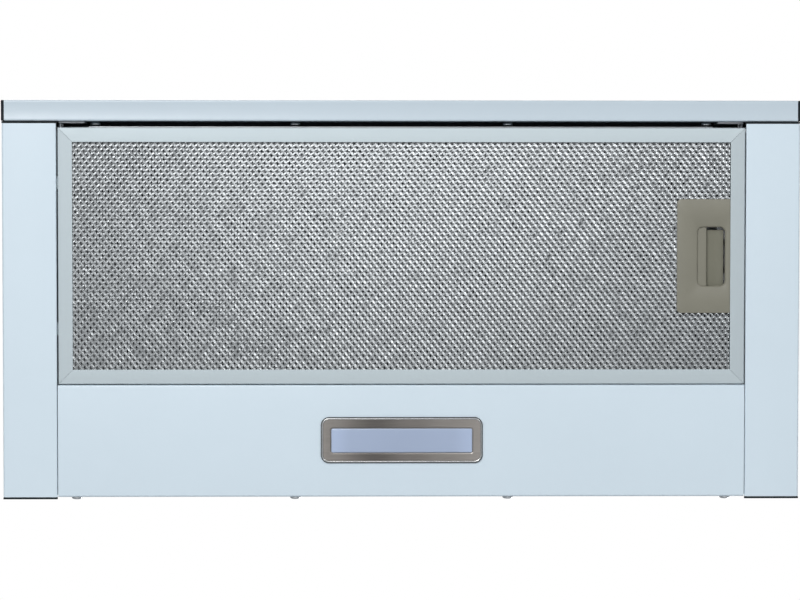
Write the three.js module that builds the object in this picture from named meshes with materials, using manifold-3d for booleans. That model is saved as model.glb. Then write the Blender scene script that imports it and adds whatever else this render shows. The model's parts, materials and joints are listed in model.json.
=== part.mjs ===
// Telescopic under cabinet range hood, 60 cm wide.
// Millimetres, +Z up, front of the hood towards -Y, X to the right.
// Origin: middle of the hood in plan, in the plane of the cabinet's underside, so the part that
// shows below the cabinet is under z = 0 and the blower box inside the cabinet is above it.
import * as THREE from 'three';
import { mergeVertices } from 'three/addons/utils/BufferGeometryUtils.js';
import Module from 'manifold-3d';

const wasm = await Module();
wasm.setup();

// ---------------------------------------------------------------- driving dimensions
const GAP = 0.3; // clearance between pieces that touch on the real hood
const SHEET = 0.8; // galvanised and filter sheet
const SKIN = 1; // painted outer sheet
const BEND = 1.6; // outside radius of a sheet bend

const BOTTOM_Z = -40; // underside of the visible body
const HOOD_HALF = 299; // outside of the fascia's end caps
const FASCIA_FRONT_Y = -149.2;
const FASCIA_BACK_Y = -133.7;
const FASCIA_TOP_Z = -2;
const FASCIA_SCOOP_R = 70; // the fascia's underside is slightly hollow, for the fingers
const FASCIA_CAP_T = 2;

const CHANNEL_IN_X = 258; // edge of the channel next to the filter
const CHANNEL_OUT_X = 298.5;
const CHANNEL_FRONT_Y = -131.9;
const CHANNEL_REAR_Y = 148;
const CHANNEL_UPRIGHT_X = 265.3;
const CHANNEL_LIP_T = 2.2; // doubled sheet at the channel's inner edge
const CHANNEL_FLANGE = 14.5; // top flange under the cabinet's side panel
const CAP_T = 1.3;

const PANEL_HALF = 257.5;
const PANEL_FRONT_Y = 63.8;
const PANEL_REAR_Y = 147.9;

const BOX_FRONT_Y = -130; // blower box inside the cabinet
const BOX_REAR_Y = 146.4;
const BOX_TOP_Z = 135;
const BOX_SIDE_X = 264;
const BOX_FRONT_LOW_Z = -8; // clears the drawer's arms
const BOX_APRON_LOW_Z = -24; // between the arms the front wall comes down further
const BOX_APRON_HALF = 235;
const BOX_SIDE_LOW_Z = -30;
const BOX_REAR_LOW_Z = -37.5;
const BASE_Z = -7; // underside of the base frame

const SCREW_HEAD_R = 4;
const SCREW_HEAD_H = 2;
const SCREW_SHANK_R = 1.7;
const SCREW_HOLE_R = 2.1;
const FRONT_SCREW_X = [-230.6, -80.2, 80.2, 230.6];
const FRONT_SCREW_Z = -18;
const REAR_SCREW_X = [-244, -80, 80, 244];
const REAR_SCREW_Z = -33;

const RAIL_LOW_Z = -26;
const RAIL_HIGH_Z = -10;
const RAIL_OUT_X = 263.7;
const RAIL_IN_X = 258.8;
const RUNNER_REAR_Y = 138;

const ARM_X = 257.3; // outer face of the drawer arm's web
const ARM_LOW_Z = -28.2;
const ARM_HIGH_Z = -12;
const ARM_FOOT_Y = -133.4;

const FILTER_X = [-257, 257.3];
const FILTER_FRONT_Y = -128.8;
const FILTER_REAR_Y = 63.1;
const FILTER_LOW_Z = -39.5;
const FILTER_HIGH_Z = -30;
const FILTER_BAR = 10.8; // width of the folded frame seen from below
const FILTER_EDGE_R = 0.9;
const FILTER_MID_Y = (FILTER_FRONT_Y + FILTER_REAR_Y) / 2;
const MESH_LOW_Z = -38.4;
const MESH_HIGH_Z = -31.1;
const HINGE_OFFSET_Y = 54.7; // hinge tongues, each side of the filter's middle
const HINGE_WIDTH = 9.5;

const LATCH_X = [206.5, 251.6];
const LATCH_Y = [-75.6, 10];
const LATCH_WINDOW_X = [222.3, 242.6];
const LATCH_WINDOW_Y = [-54.5, -10.5];
const LATCH_MID_Y = -32.5;

const LAMP_Y = 105.2;
const LAMP_W = 121.4;
const LAMP_D = 34.5;
const LAMP_R = 5.3;
const LENS_W = 106;
const LENS_D = 18.7;

const FAN_Y = 10;
const FAN_Z = 70;
const WHEEL_R = 45;
const SCROLL_START_R = 49;
const SCROLL_END_R = 68;
const SCROLL_HALF_X = 36;
const SCROLL_WALL = 2;

const OUTLET_Y = -16;
const OUTLET_R = 60; // a 120 mm duct slides over the collar
const OUTLET_WALL = 2.5;
const OUTLET_TOP_Z = 167;
const FLAP_Z = 141;
const FLAP_AXIS_OFFSET = 2.6;
const FLAP_T = 1.4;

const BUTTON_X = [170, 190, 210, 230];
const BUTTON_Z = -20;
const BUTTON_R = 5;

// ---------------------------------------------------------------- materials
function paint(color, roughness, metalness) {
  return new THREE.MeshStandardMaterial({ color, roughness, metalness });
}


const WHITE_PAINT = paint(0xe3eaef, 0.35, 0.0);
const BLACK_PLASTIC = paint(0x1d2023, 0.5, 0.0);
const GALVANISED = paint(0xb4b9bb, 0.45, 1.0);
const ALUMINIUM = paint(0xc6d0d2, 0.35, 1.0);
const MESH_METAL = paint(0xa9aeb1, 0.3, 1.0);
const TAUPE_PLASTIC = paint(0x868477, 0.5, 0.0);
const BEZEL_METAL = paint(0x7a7670, 0.3, 1.0);
const LENS_PLASTIC = paint(0xa8b6ca, 0.3, 0.0);
const BOARD_GREEN = paint(0x1f5a3a, 0.6, 0.0);
const GREY_PLASTIC = paint(0x5c6063, 0.6, 0.0);
const SCREW_STEEL = paint(0xd4d8da, 0.25, 1.0);
const MOTOR_STEEL = paint(0x6f7376, 0.5, 1.0);
const SPRING_STEEL = paint(0x9da2a6, 0.3, 1.0);

const hood = new THREE.Group();

function addPart(name, geometry, material) {
  const mesh = new THREE.Mesh(geometry, material);
  mesh.name = name;
  hood.add(mesh);
  return mesh;
}

// ---------------------------------------------------------------- shape helpers
const sideName = (side) => (side < 0 ? 'left' : 'right');
const mirrorX = (points, side) => points.map(([x, y]) => [x * side, y]);

function polygon(points) {
  return new THREE.Shape(points.map(([x, y]) => new THREE.Vector2(x, y)));
}

function arc(cx, cy, radius, fromDeg, toDeg, steps) {
  const points = [];
  for (let i = 0; i <= steps; i += 1) {
    const angle = THREE.MathUtils.degToRad(fromDeg + ((toDeg - fromDeg) * i) / steps);
    points.push([cx + radius * Math.cos(angle), cy + radius * Math.sin(angle)]);
  }
  return points;
}

function roundedRect(x0, x1, y0, y1, radius, steps = 4) {
  return polygon([
    ...arc(x1 - radius, y0 + radius, radius, -90, 0, steps),
    ...arc(x1 - radius, y1 - radius, radius, 0, 90, steps),
    ...arc(x0 + radius, y1 - radius, radius, 90, 180, steps),
    ...arc(x0 + radius, y0 + radius, radius, 180, 270, steps),
  ]);
}

function extrude(shape, depth, curveSegments = 12) {
  return new THREE.ExtrudeGeometry(shape, { depth, bevelEnabled: false, curveSegments });
}

// A shape drawn in (x, y), raised from z0 to z1.
function alongZ(shape, z0, z1) {
  return extrude(shape, z1 - z0).translate(0, 0, z0);
}

// A shape drawn in (x, z), run from y0 to y1.
function alongY(shape, y0, y1) {
  return extrude(shape, y1 - y0).rotateX(Math.PI / 2).translate(0, y1, 0);
}

// A shape drawn in (y, z), run from x0 to x1.
function alongX(shape, x0, x1) {
  const turn = new THREE.Matrix4().makeBasis(
    new THREE.Vector3(0, 1, 0),
    new THREE.Vector3(0, 0, 1),
    new THREE.Vector3(1, 0, 0),
  );
  return extrude(shape, x1 - x0).applyMatrix4(turn).translate(x0, 0, 0);
}

function box(x0, x1, y0, y1, z0, z1) {
  const geometry = new THREE.BoxGeometry(Math.abs(x1 - x0), y1 - y0, z1 - z0);
  return geometry.translate((x0 + x1) / 2, (y0 + y1) / 2, (z0 + z1) / 2);
}

function rodX(x0, x1, y, z, radius, sides = 24) {
  const rod = new THREE.CylinderGeometry(radius, radius, x1 - x0, sides).rotateZ(-Math.PI / 2);
  return rod.translate((x0 + x1) / 2, y, z);
}

function rodY(x, y0, y1, z, radius, sides = 16) {
  return new THREE.CylinderGeometry(radius, radius, y1 - y0, sides).translate(x, (y0 + y1) / 2, z);
}

function rodZ(x, y, z0, z1, radius, sides = 24) {
  const rod = new THREE.CylinderGeometry(radius, radius, z1 - z0, sides).rotateX(Math.PI / 2);
  return rod.translate(x, y, (z0 + z1) / 2);
}

// Replaces every inner corner of an open path with an arc of the given radius.
function bendPath(points, radius, steps = 3) {
  const path = [points[0]];
  for (let i = 1; i < points.length - 1; i += 1) {
    const corner = new THREE.Vector2(...points[i]);
    const back = new THREE.Vector2(...points[i - 1]).sub(corner).normalize();
    const ahead = new THREE.Vector2(...points[i + 1]).sub(corner).normalize();
    const half = Math.acos(THREE.MathUtils.clamp(back.dot(ahead), -1, 1)) / 2;
    const reach = radius / Math.tan(half);
    const inward = back.clone().add(ahead).normalize();
    const centre = corner.clone().addScaledVector(inward, radius / Math.sin(half));
    const start = corner.clone().addScaledVector(back, reach).sub(centre);
    const end = corner.clone().addScaledVector(ahead, reach).sub(centre);
    const sweep = Math.atan2(start.cross(end), start.dot(end));
    for (let k = 0; k <= steps; k += 1) {
      const spoke = start.clone().rotateAround(new THREE.Vector2(0, 0), (sweep * k) / steps).add(centre);
      path.push([spoke.x, spoke.y]);
    }
  }
  path.push(points[points.length - 1]);
  return path;
}

// Offsets an open path to its left by the given distance, with mitred joints.
function offsetPath(path, distance) {
  const normalOf = (a, b) => new THREE.Vector2(a[1] - b[1], b[0] - a[0]).normalize();
  return path.map((point, i) => {
    const before = normalOf(path[Math.max(i - 1, 0)], path[Math.max(i, 1)]);
    const last = path.length - 1;
    const after = normalOf(path[Math.min(i, last - 1)], path[Math.min(i + 1, last)]);
    const mitre = before.clone().add(after).normalize();
    const length = distance / mitre.dot(after);
    return [point[0] + mitre.x * length, point[1] + mitre.y * length];
  });
}

// The closed section of a bent sheet whose outside follows the points; the metal lies to the left.
function sheet(points, thickness, side = 1, bend = BEND) {
  const path = bendPath(points, bend);
  return polygon(mirrorX([...path, ...offsetPath(path, thickness).reverse()], side));
}

// ---------------------------------------------------------------- joining and cutting
function toManifold(geometry) {
  const bare = geometry.clone();
  bare.deleteAttribute('normal');
  bare.deleteAttribute('uv');
  const merged = mergeVertices(bare, 1e-4);
  const corners = [];
  for (let i = 0; i < merged.index.count; i += 3) {
    const [a, b, c] = [merged.index.getX(i), merged.index.getX(i + 1), merged.index.getX(i + 2)];
    if (a !== b && b !== c && c !== a) corners.push(a, b, c);
  }
  return new wasm.Manifold(new wasm.Mesh({
    numProp: 3,
    vertProperties: new Float32Array(merged.attributes.position.array),
    triVerts: new Uint32Array(corners),
  }));
}

function fromManifold(manifold) {
  const mesh = manifold.getMesh();
  const geometry = new THREE.BufferGeometry();
  geometry.setAttribute('position', new THREE.BufferAttribute(new Float32Array(mesh.vertProperties), 3));
  geometry.setIndex(new THREE.BufferAttribute(new Uint32Array(mesh.triVerts), 1));
  geometry.computeVertexNormals();
  return geometry;
}

function join(first, ...others) {
  return fromManifold(others.reduce((sum, next) => sum.add(toManifold(next)), toManifold(first)));
}

function cut(first, ...tools) {
  return fromManifold(tools.reduce((rest, next) => rest.subtract(toManifold(next)), toManifold(first)));
}

function common(first, ...others) {
  return fromManifold(others.reduce((rest, next) => rest.intersect(toManifold(next)), toManifold(first)));
}

// ---------------------------------------------------------------- side channels and their caps
// A folded channel, open at the top, that hides the drawer's runners and rests on the cabinet.
function channelSection(side) {
  const lipTop = BOTTOM_Z + CHANNEL_LIP_T;
  const lipR = CHANNEL_LIP_T / 2;
  const inner = CHANNEL_OUT_X - SKIN;
  return polygon(mirrorX([
    [CHANNEL_UPRIGHT_X, -3],
    [CHANNEL_UPRIGHT_X, lipTop],
    ...arc(CHANNEL_IN_X + lipR, BOTTOM_Z + lipR, lipR, 90, 270, 6),
    ...arc(CHANNEL_OUT_X - BEND, BOTTOM_Z + BEND, BEND, -90, 0, 4),
    ...arc(CHANNEL_OUT_X - BEND, -BEND, BEND, 0, 90, 4),
    [CHANNEL_OUT_X - CHANNEL_FLANGE, 0],
    [CHANNEL_OUT_X - CHANNEL_FLANGE, -SKIN],
    [inner, -SKIN],
    [inner, BOTTOM_Z + SKIN],
    [CHANNEL_UPRIGHT_X + SKIN, BOTTOM_Z + SKIN],
    [CHANNEL_UPRIGHT_X + SKIN, -3],
  ], side));
}

// The cap's plate is cut away beside the runners, so the drawer's hinge hooks pass it.
function channelCap(side, plateY, plugY) {
  const outline = polygon(mirrorX([
    [CHANNEL_IN_X, BOTTOM_Z],
    [CHANNEL_OUT_X, BOTTOM_Z],
    [CHANNEL_OUT_X, 0],
    [CHANNEL_UPRIGHT_X, 0],
    [CHANNEL_UPRIGHT_X, BOTTOM_Z + CHANNEL_LIP_T],
    [CHANNEL_IN_X, BOTTOM_Z + CHANNEL_LIP_T],
  ], side));
  const plate = alongY(outline, Math.min(...plateY), Math.max(...plateY));
  const plugOuter = [CHANNEL_UPRIGHT_X + SKIN + GAP, CHANNEL_OUT_X - SKIN - GAP];
  const plugZ = [BOTTOM_Z + SKIN + GAP, -SKIN - GAP];
  const [y0, y1] = [Math.min(...plugY), Math.max(...plugY)];
  const plug = box(side * plugOuter[0], side * plugOuter[1], y0, y1, ...plugZ);
  const wall = 1.5;
  const hollow = box(
    side * (plugOuter[0] + wall),
    side * (plugOuter[1] - wall),
    y0 - (plateY[0] > 0 ? 1 : -CAP_T),
    y1 + (plateY[0] > 0 ? -CAP_T : 1),
    plugZ[0] + wall,
    plugZ[1] - wall,
  );
  return join(plate, cut(plug, hollow));
}

for (const side of [-1, 1]) {
  const name = sideName(side);
  addPart(`side_channel_${name}`, alongY(channelSection(side), CHANNEL_FRONT_Y, CHANNEL_REAR_Y), WHITE_PAINT);
  const front = CHANNEL_FRONT_Y - 0.2;
  const rear = CHANNEL_REAR_Y + 0.2;
  addPart(
    `channel_front_cap_${name}`,
    channelCap(side, [front - CAP_T, front], [front - 0.1, front + 8]),
    BLACK_PLASTIC,
  );
  addPart(
    `channel_rear_cap_${name}`,
    channelCap(side, [rear, rear + CAP_T], [rear - 8, rear + 0.1]),
    BLACK_PLASTIC,
  );
}

// ---------------------------------------------------------------- screws
// A pan head screw along Y: the head's dome points to headDir, the shank the other way.
function panHeadScrew(x, seatY, z, headDir, shankLength) {
  const profile = [
    [0, -shankLength],
    [SCREW_SHANK_R, -shankLength],
    [SCREW_SHANK_R, 0],
    [SCREW_HEAD_R, 0],
    [SCREW_HEAD_R, SCREW_HEAD_H * 0.35],
    [SCREW_HEAD_R * 0.85, SCREW_HEAD_H * 0.72],
    [SCREW_HEAD_R * 0.5, SCREW_HEAD_H * 0.95],
    [0, SCREW_HEAD_H],
  ].map(([r, y]) => new THREE.Vector2(r, y));
  const screw = new THREE.LatheGeometry(profile, 14);
  if (headDir < 0) screw.rotateX(Math.PI);
  return screw.translate(x, seatY, z);
}

FRONT_SCREW_X.forEach((x, i) => {
  addPart(`front_screw_${i + 1}`, panHeadScrew(x, BOX_FRONT_Y - 0.2, FRONT_SCREW_Z, -1, 6), SCREW_STEEL);
});
REAR_SCREW_X.forEach((x, i) => {
  addPart(`rear_screw_${i + 1}`, panHeadScrew(x, PANEL_REAR_Y + 0.2, REAR_SCREW_Z, 1, 7), SCREW_STEEL);
});

// ---------------------------------------------------------------- blower box
const shellSection = sheet([
  [BOX_FRONT_Y, BOX_APRON_LOW_Z],
  [BOX_FRONT_Y, BOX_TOP_Z],
  [BOX_REAR_Y, BOX_TOP_Z],
  [BOX_REAR_Y, BOX_REAR_LOW_Z],
], -SHEET);
const GLAND_X = 200;
const GLAND_Y = 100;
const GLAND_HOLE_R = 8.4;
const rearScrewHoles = REAR_SCREW_X.map((x) => (
  rodY(x, BOX_REAR_Y - 4, PANEL_REAR_Y + 4, REAR_SCREW_Z, SCREW_HOLE_R)
));
const armCutouts = [-1, 1].map((side) => box(
  side * BOX_APRON_HALF,
  side * (BOX_SIDE_X + 1),
  BOX_FRONT_Y - 2,
  BOX_FRONT_Y + 3,
  BOX_APRON_LOW_Z - 1,
  BOX_FRONT_LOW_Z,
));
addPart('housing_shell', cut(
  alongX(shellSection, -(BOX_SIDE_X - GAP), BOX_SIDE_X - GAP),
  rodZ(0, OUTLET_Y, BOX_TOP_Z - 4, BOX_TOP_Z + 4, OUTLET_R - OUTLET_WALL, 48),
  rodZ(GLAND_X, GLAND_Y, BOX_TOP_Z - 4, BOX_TOP_Z + 4, GLAND_HOLE_R, 20),
  ...FRONT_SCREW_X.map((x) => rodY(x, BOX_FRONT_Y - 4, BOX_FRONT_Y + 4, FRONT_SCREW_Z, SCREW_HOLE_R)),
  ...armCutouts,
  ...rearScrewHoles,
), GALVANISED);

// Spring leaf that snaps the box between the cabinet's side panels.
const CLIP_PATH = [[265.1, 96], [265.1, 78], [279, 48], [266.4, 34]];
const CLIP_Y = [-20, 20];
for (const side of [-1, 1]) {
  const name = sideName(side);
  const plateX = [side * BOX_SIDE_X, side * (BOX_SIDE_X + SHEET)];
  const plate = box(...plateX, BOX_FRONT_Y, BOX_REAR_Y, BOX_SIDE_LOW_Z, BOX_TOP_Z);
  addPart(`housing_side_${name}`, plate, GALVANISED);
  const leaf = alongY(sheet(CLIP_PATH, SHEET, side, 2.4), ...CLIP_Y);
  addPart(`cabinet_clip_${name}`, leaf, SPRING_STEEL);
}

const INNER_OPENING = { x: 222, y0: -114, y1: 58 };
addPart('base_frame', cut(
  box(-(BOX_SIDE_X - 0.6), BOX_SIDE_X - 0.6, BOX_FRONT_Y + 1.3, BOX_REAR_Y - 1.3, BASE_Z, BASE_Z + SHEET),
  box(-INNER_OPENING.x, INNER_OPENING.x, INNER_OPENING.y0, INNER_OPENING.y1, BASE_Z - 2, BASE_Z + 2),
), GALVANISED);

// ---------------------------------------------------------------- light panel and lamp
const panelSection = sheet([
  [PANEL_FRONT_Y, BOTTOM_Z + 8],
  [PANEL_FRONT_Y, BOTTOM_Z],
  [PANEL_REAR_Y, BOTTOM_Z],
  [PANEL_REAR_Y, 0],
], SKIN);
// A box centred on the lamp, and a rounded rectangle centred on it.
function lampBox(width, depth, z0, z1) {
  return box(-width / 2, width / 2, LAMP_Y - depth / 2, LAMP_Y + depth / 2, z0, z1);
}

function lampRect(width, depth, radius) {
  return roundedRect(-width / 2, width / 2, LAMP_Y - depth / 2, LAMP_Y + depth / 2, radius);
}

addPart('light_panel', cut(
  alongX(panelSection, -PANEL_HALF, PANEL_HALF),
  lampBox(112, 26, BOTTOM_Z - 2, BOTTOM_Z + 3),
  ...rearScrewHoles,
), WHITE_PAINT);

const BEZEL_LOW_Z = BOTTOM_Z - 2;
const BEZEL_SEAT_Z = BOTTOM_Z - GAP;
addPart('lamp_bezel', cut(
  join(
    alongZ(lampRect(LAMP_W, LAMP_D, LAMP_R), BEZEL_LOW_Z, BEZEL_SEAT_Z),
    alongZ(lampRect(111.4, 25.4, 1), BEZEL_SEAT_Z - 0.5, BOTTOM_Z + 3.5),
  ),
  alongZ(lampRect(LENS_W, LENS_D, 1), BEZEL_LOW_Z - 1, BEZEL_SEAT_Z + 0.6),
  alongZ(lampRect(107.6, 21.6, 1), BEZEL_SEAT_Z + 0.4, BOTTOM_Z + 4),
), BEZEL_METAL);
addPart('lamp_lens', join(
  alongZ(lampRect(LENS_W - 0.6, LENS_D - 0.6, 0.8), BEZEL_LOW_Z + 0.5, BEZEL_SEAT_Z + 1),
  alongZ(lampRect(107, 21, 0.8), BEZEL_SEAT_Z + 0.9, BEZEL_SEAT_Z + 2.2),
), LENS_PLASTIC);
addPart('lamp_board', lampBox(106, 20, -37.2, -36), BOARD_GREEN);
addPart('lamp_housing', cut(
  lampBox(120, 32, BOTTOM_Z + SKIN + GAP, -29),
  lampBox(117.2, 29.2, BOTTOM_Z, -30.4),
), GREY_PLASTIC);

// ---------------------------------------------------------------- filters
// A frame folded from one U-section strip: a ring, open towards the middle.
function filterRing({ x0, x1, y0, y1, z0, z1 }, bar, edgeR) {
  const ends = common(
    alongY(roundedRect(x0, x1, z0, z1, edgeR, 4), y0, y1),
    alongX(roundedRect(y0, y1, z0, z1, edgeR, 4), x0, x1),
  );
  return cut(
    ends,
    box(x0 + bar, x1 - bar, y0 + bar, y1 - bar, z0 - 1, z1 + 1),
    box(x0 + SHEET, x1 - SHEET, y0 + SHEET, y1 - SHEET, z0 + SHEET, z1 - SHEET),
  );
}

// One face sheet with its edge turned up; it holds the layers of expanded metal.
function meshTray(outer, z0, z1) {
  const [x0, x1] = [outer.x0 + 2, outer.x1 - 2];
  const [y0, y1] = [outer.y0 + 2, outer.y1 - 2];
  return cut(box(x0, x1, y0, y1, z0, z1), box(x0 + 1, x1 - 1, y0 + 1, y1 - 1, z0 + 1, z1 + 1));
}

const CASSETTE = {
  x0: FILTER_X[0],
  x1: FILTER_X[1],
  y0: FILTER_FRONT_Y,
  y1: FILTER_REAR_Y,
  z0: FILTER_LOW_Z,
  z1: FILTER_HIGH_Z,
};

const HINGE_Y = [FILTER_MID_Y - HINGE_OFFSET_Y, FILTER_MID_Y + HINGE_OFFSET_Y];
const tongues = HINGE_Y.map((y) => (
  box(-261.3, FILTER_X[0] + 0.4, y - HINGE_WIDTH / 2, y + HINGE_WIDTH / 2, -36.3, -35.3)
));
addPart('filter_frame', join(filterRing(CASSETTE, FILTER_BAR, FILTER_EDGE_R), ...tongues), ALUMINIUM);
addPart('filter_mesh', cut(
  meshTray(CASSETTE, MESH_LOW_Z, MESH_HIGH_Z),
  box(
    LATCH_X[0] - GAP,
    LATCH_X[1] + GAP,
    LATCH_Y[0] - GAP,
    LATCH_Y[1] + GAP,
    MESH_LOW_Z - 1,
    MESH_HIGH_Z + 1,
  ),
), MESH_METAL);

const INNER = { x0: -230, x1: 230, y0: -121, y1: 65, z0: -5.9, z1: 3.1 };
addPart('inner_filter_frame', filterRing(INNER, 12, 1.2), ALUMINIUM);
addPart('inner_filter_mesh', meshTray(INNER, INNER.z0 + 1.1, INNER.z1 - 1.1), MESH_METAL);

// ---------------------------------------------------------------- filter latch
const LATCH_WALL = 1.2;
addPart('latch_housing', cut(
  alongZ(roundedRect(...LATCH_X, ...LATCH_Y, 3), MESH_LOW_Z, MESH_HIGH_Z),
  alongZ(roundedRect(...LATCH_WINDOW_X, ...LATCH_WINDOW_Y, 4, 5), MESH_LOW_Z - 1, MESH_HIGH_Z),
  box(
    LATCH_X[0] + LATCH_WALL,
    LATCH_X[1] - LATCH_WALL,
    LATCH_Y[0] + LATCH_WALL,
    LATCH_Y[1] - LATCH_WALL,
    MESH_LOW_Z + LATCH_WALL,
    MESH_HIGH_Z + 1,
  ),
), TAUPE_PLASTIC);

// Slider: a tray under the window with a finger grip at its left, and a hook that reaches above
// the filter.
const SLIDER_Y = [-56.2, -8.8];
const SLIDER_FLOOR_Z = [-32.4, -31.2];
const SLIDER_WALL = 1.5;
const GRIP_LOW_Z = MESH_LOW_Z + LATCH_WALL + GAP;
const HOOK_Y = [LATCH_MID_Y - 6, LATCH_MID_Y + 6];
addPart('latch_slider', join(
  box(218, 245.4, ...SLIDER_Y, ...SLIDER_FLOOR_Z),
  box(228, 245.4, SLIDER_Y[0], SLIDER_Y[0] + SLIDER_WALL, GRIP_LOW_Z, SLIDER_FLOOR_Z[0] + 0.5),
  box(228, 245.4, SLIDER_Y[1] - SLIDER_WALL, SLIDER_Y[1], GRIP_LOW_Z, SLIDER_FLOOR_Z[0] + 0.5),
  box(245.4 - SLIDER_WALL, 245.4, ...SLIDER_Y, GRIP_LOW_Z, SLIDER_FLOOR_Z[0] + 0.5),
  box(220.6, 228.9, ...SLIDER_Y, GRIP_LOW_Z, SLIDER_FLOOR_Z[0] + 0.5),
  box(237, 240.5, ...HOOK_Y, SLIDER_FLOOR_Z[1] - 0.5, -25.9),
  box(237, 245.4, ...HOOK_Y, -27.1, -25.9),
), TAUPE_PLASTIC);

// Compression spring that holds the slider to the right.
const SPRING = { r: 1.6, wire: 0.35, turns: 6, x0: 208.7, x1: 217.2, z: -34 };
class Helix extends THREE.Curve {
  getPoint(t, target = new THREE.Vector3()) {
    const angle = t * SPRING.turns * 2 * Math.PI;
    const x = THREE.MathUtils.lerp(SPRING.x0, SPRING.x1, t);
    const y = LATCH_MID_Y + SPRING.r * Math.cos(angle);
    return target.set(x, y, SPRING.z + SPRING.r * Math.sin(angle));
  }
}
addPart('latch_spring', new THREE.ExtrudeGeometry(polygon(arc(0, 0, SPRING.wire, 0, 300, 5)), {
  steps: SPRING.turns * 10,
  bevelEnabled: false,
  extrudePath: new Helix(),
}), SPRING_STEEL);

// ---------------------------------------------------------------- drawer
function fasciaOutline() {
  const frontCorner = FASCIA_FRONT_Y + 1.2;
  const rearCorner = FASCIA_BACK_Y - 0.8;
  const half = (rearCorner - frontCorner) / 2;
  const halfDeg = THREE.MathUtils.radToDeg(Math.asin(half / FASCIA_SCOOP_R));
  const centreZ = BOTTOM_Z - FASCIA_SCOOP_R * Math.cos(THREE.MathUtils.degToRad(halfDeg));
  return [
    [FASCIA_BACK_Y - 6, FASCIA_TOP_Z],
    [FASCIA_BACK_Y, FASCIA_TOP_Z],
    [FASCIA_BACK_Y, BOTTOM_Z + 0.8],
    ...arc(frontCorner + half, centreZ, FASCIA_SCOOP_R, 90 - halfDeg, 90 + halfDeg, 6),
    [FASCIA_FRONT_Y + 0.35, BOTTOM_Z + 0.35],
    [FASCIA_FRONT_Y, BOTTOM_Z + 1.2],
    [FASCIA_FRONT_Y, FASCIA_TOP_Z],
    [FASCIA_FRONT_Y + 6, FASCIA_TOP_Z],
  ];
}

const fasciaPath = fasciaOutline();
const fasciaSkin = polygon([...fasciaPath, ...offsetPath(fasciaPath, -SKIN).reverse()]);
addPart('fascia', cut(
  alongX(fasciaSkin, -(HOOD_HALF - FASCIA_CAP_T - GAP), HOOD_HALF - FASCIA_CAP_T - GAP),
  ...BUTTON_X.map((x) => rodY(x, FASCIA_FRONT_Y - 2, FASCIA_FRONT_Y + 3, BUTTON_Z, BUTTON_R + 0.4, 20)),
), WHITE_PAINT);
for (const side of [-1, 1]) {
  const [x0, x1] = [side * HOOD_HALF, side * (HOOD_HALF - FASCIA_CAP_T)].sort((a, b) => a - b);
  addPart(`fascia_cap_${sideName(side)}`, alongX(polygon(fasciaPath), x0, x1), BLACK_PLASTIC);
}

// Black rubber strip on the fascia's back that closes the slot to the blower box.
const SEAL_HALF = CHANNEL_UPRIGHT_X - 0.1;
addPart('fascia_seal', box(
  -SEAL_HALF,
  SEAL_HALF,
  FASCIA_BACK_Y + 0.02,
  BOX_FRONT_Y - 0.1,
  FASCIA_TOP_Z - 2.6,
  FASCIA_TOP_Z - 0.2,
), BLACK_PLASTIC);

// Push buttons, flush with the fascia, and the switch block they press on.
const BUTTON_FRONT_Y = FASCIA_FRONT_Y + 0.1;
const BLOCK_FRONT_Y = -144.8;
const STEM_R = 2;
addPart('switch_block', cut(
  box(158, 242, BLOCK_FRONT_Y, -136, -29, -11),
  ...BUTTON_X.map((x) => rodY(x, BLOCK_FRONT_Y - 1, BLOCK_FRONT_Y + 4, BUTTON_Z, STEM_R + 0.4, 12)),
), GREY_PLASTIC);
const BUTTON_NAMES = ['button_lamp', 'button_speed_1', 'button_speed_2', 'button_speed_3'];
BUTTON_NAMES.forEach((name, i) => {
  const cap = rodY(BUTTON_X[i], BUTTON_FRONT_Y, BUTTON_FRONT_Y + 2.2, BUTTON_Z, BUTTON_R, 20);
  const stem = rodY(BUTTON_X[i], BUTTON_FRONT_Y + 2, BLOCK_FRONT_Y + 1.2, BUTTON_Z, STEM_R, 12);
  addPart(name, join(cap, stem), GREY_PLASTIC);
});

// Arms: folded channels from the fascia to the rear crossbar. The left one carries the two hooks
// that the filter's tongues rest on; the right one is notched for the latch.
const ARM_PATH = [[246, ARM_HIGH_Z], [ARM_X, ARM_HIGH_Z], [ARM_X, ARM_LOW_Z], [238, ARM_LOW_Z]];
const HOOK_TOP_Z = ARM_LOW_Z + SHEET;
const HOOK_PATH = [[255, HOOK_TOP_Z], [262.8, HOOK_TOP_Z], [262.8, -37.4], [258.9, -37.4]];
const STRIKE_NOTCH = { x: 252, y0: LATCH_MID_Y - 13, y1: LATCH_MID_Y + 13 };
const ARM_FLANGE_Y = -128.5; // the flanges stop short of the foot
function arm(side) {
  const channel = alongY(sheet(ARM_PATH, -SHEET, side), ARM_FOOT_Y + 0.5, RUNNER_REAR_Y);
  const relief = box(
    side * 230,
    side * (ARM_X - SHEET - 1),
    ARM_FOOT_Y - 1,
    ARM_FLANGE_Y,
    ARM_LOW_Z - 1,
    ARM_HIGH_Z + 1,
  );
  const foot = box(side * 238, side * ARM_X, ARM_FOOT_Y, ARM_FOOT_Y + SKIN, ARM_LOW_Z, -5);
  return join(cut(channel, relief), foot);
}
const hingeHooks = HINGE_Y.map((y) => (
  alongY(sheet(HOOK_PATH, -SHEET, -1, 1), y - HINGE_WIDTH / 2, y + HINGE_WIDTH / 2)
));
addPart('drawer_arm_left', join(arm(-1), ...hingeHooks), GALVANISED);
addPart('drawer_arm_right', cut(
  arm(1),
  box(230, STRIKE_NOTCH.x, STRIKE_NOTCH.y0, STRIKE_NOTCH.y1, ARM_LOW_Z - 1, ARM_LOW_Z + SHEET + 1),
), GALVANISED);

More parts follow.
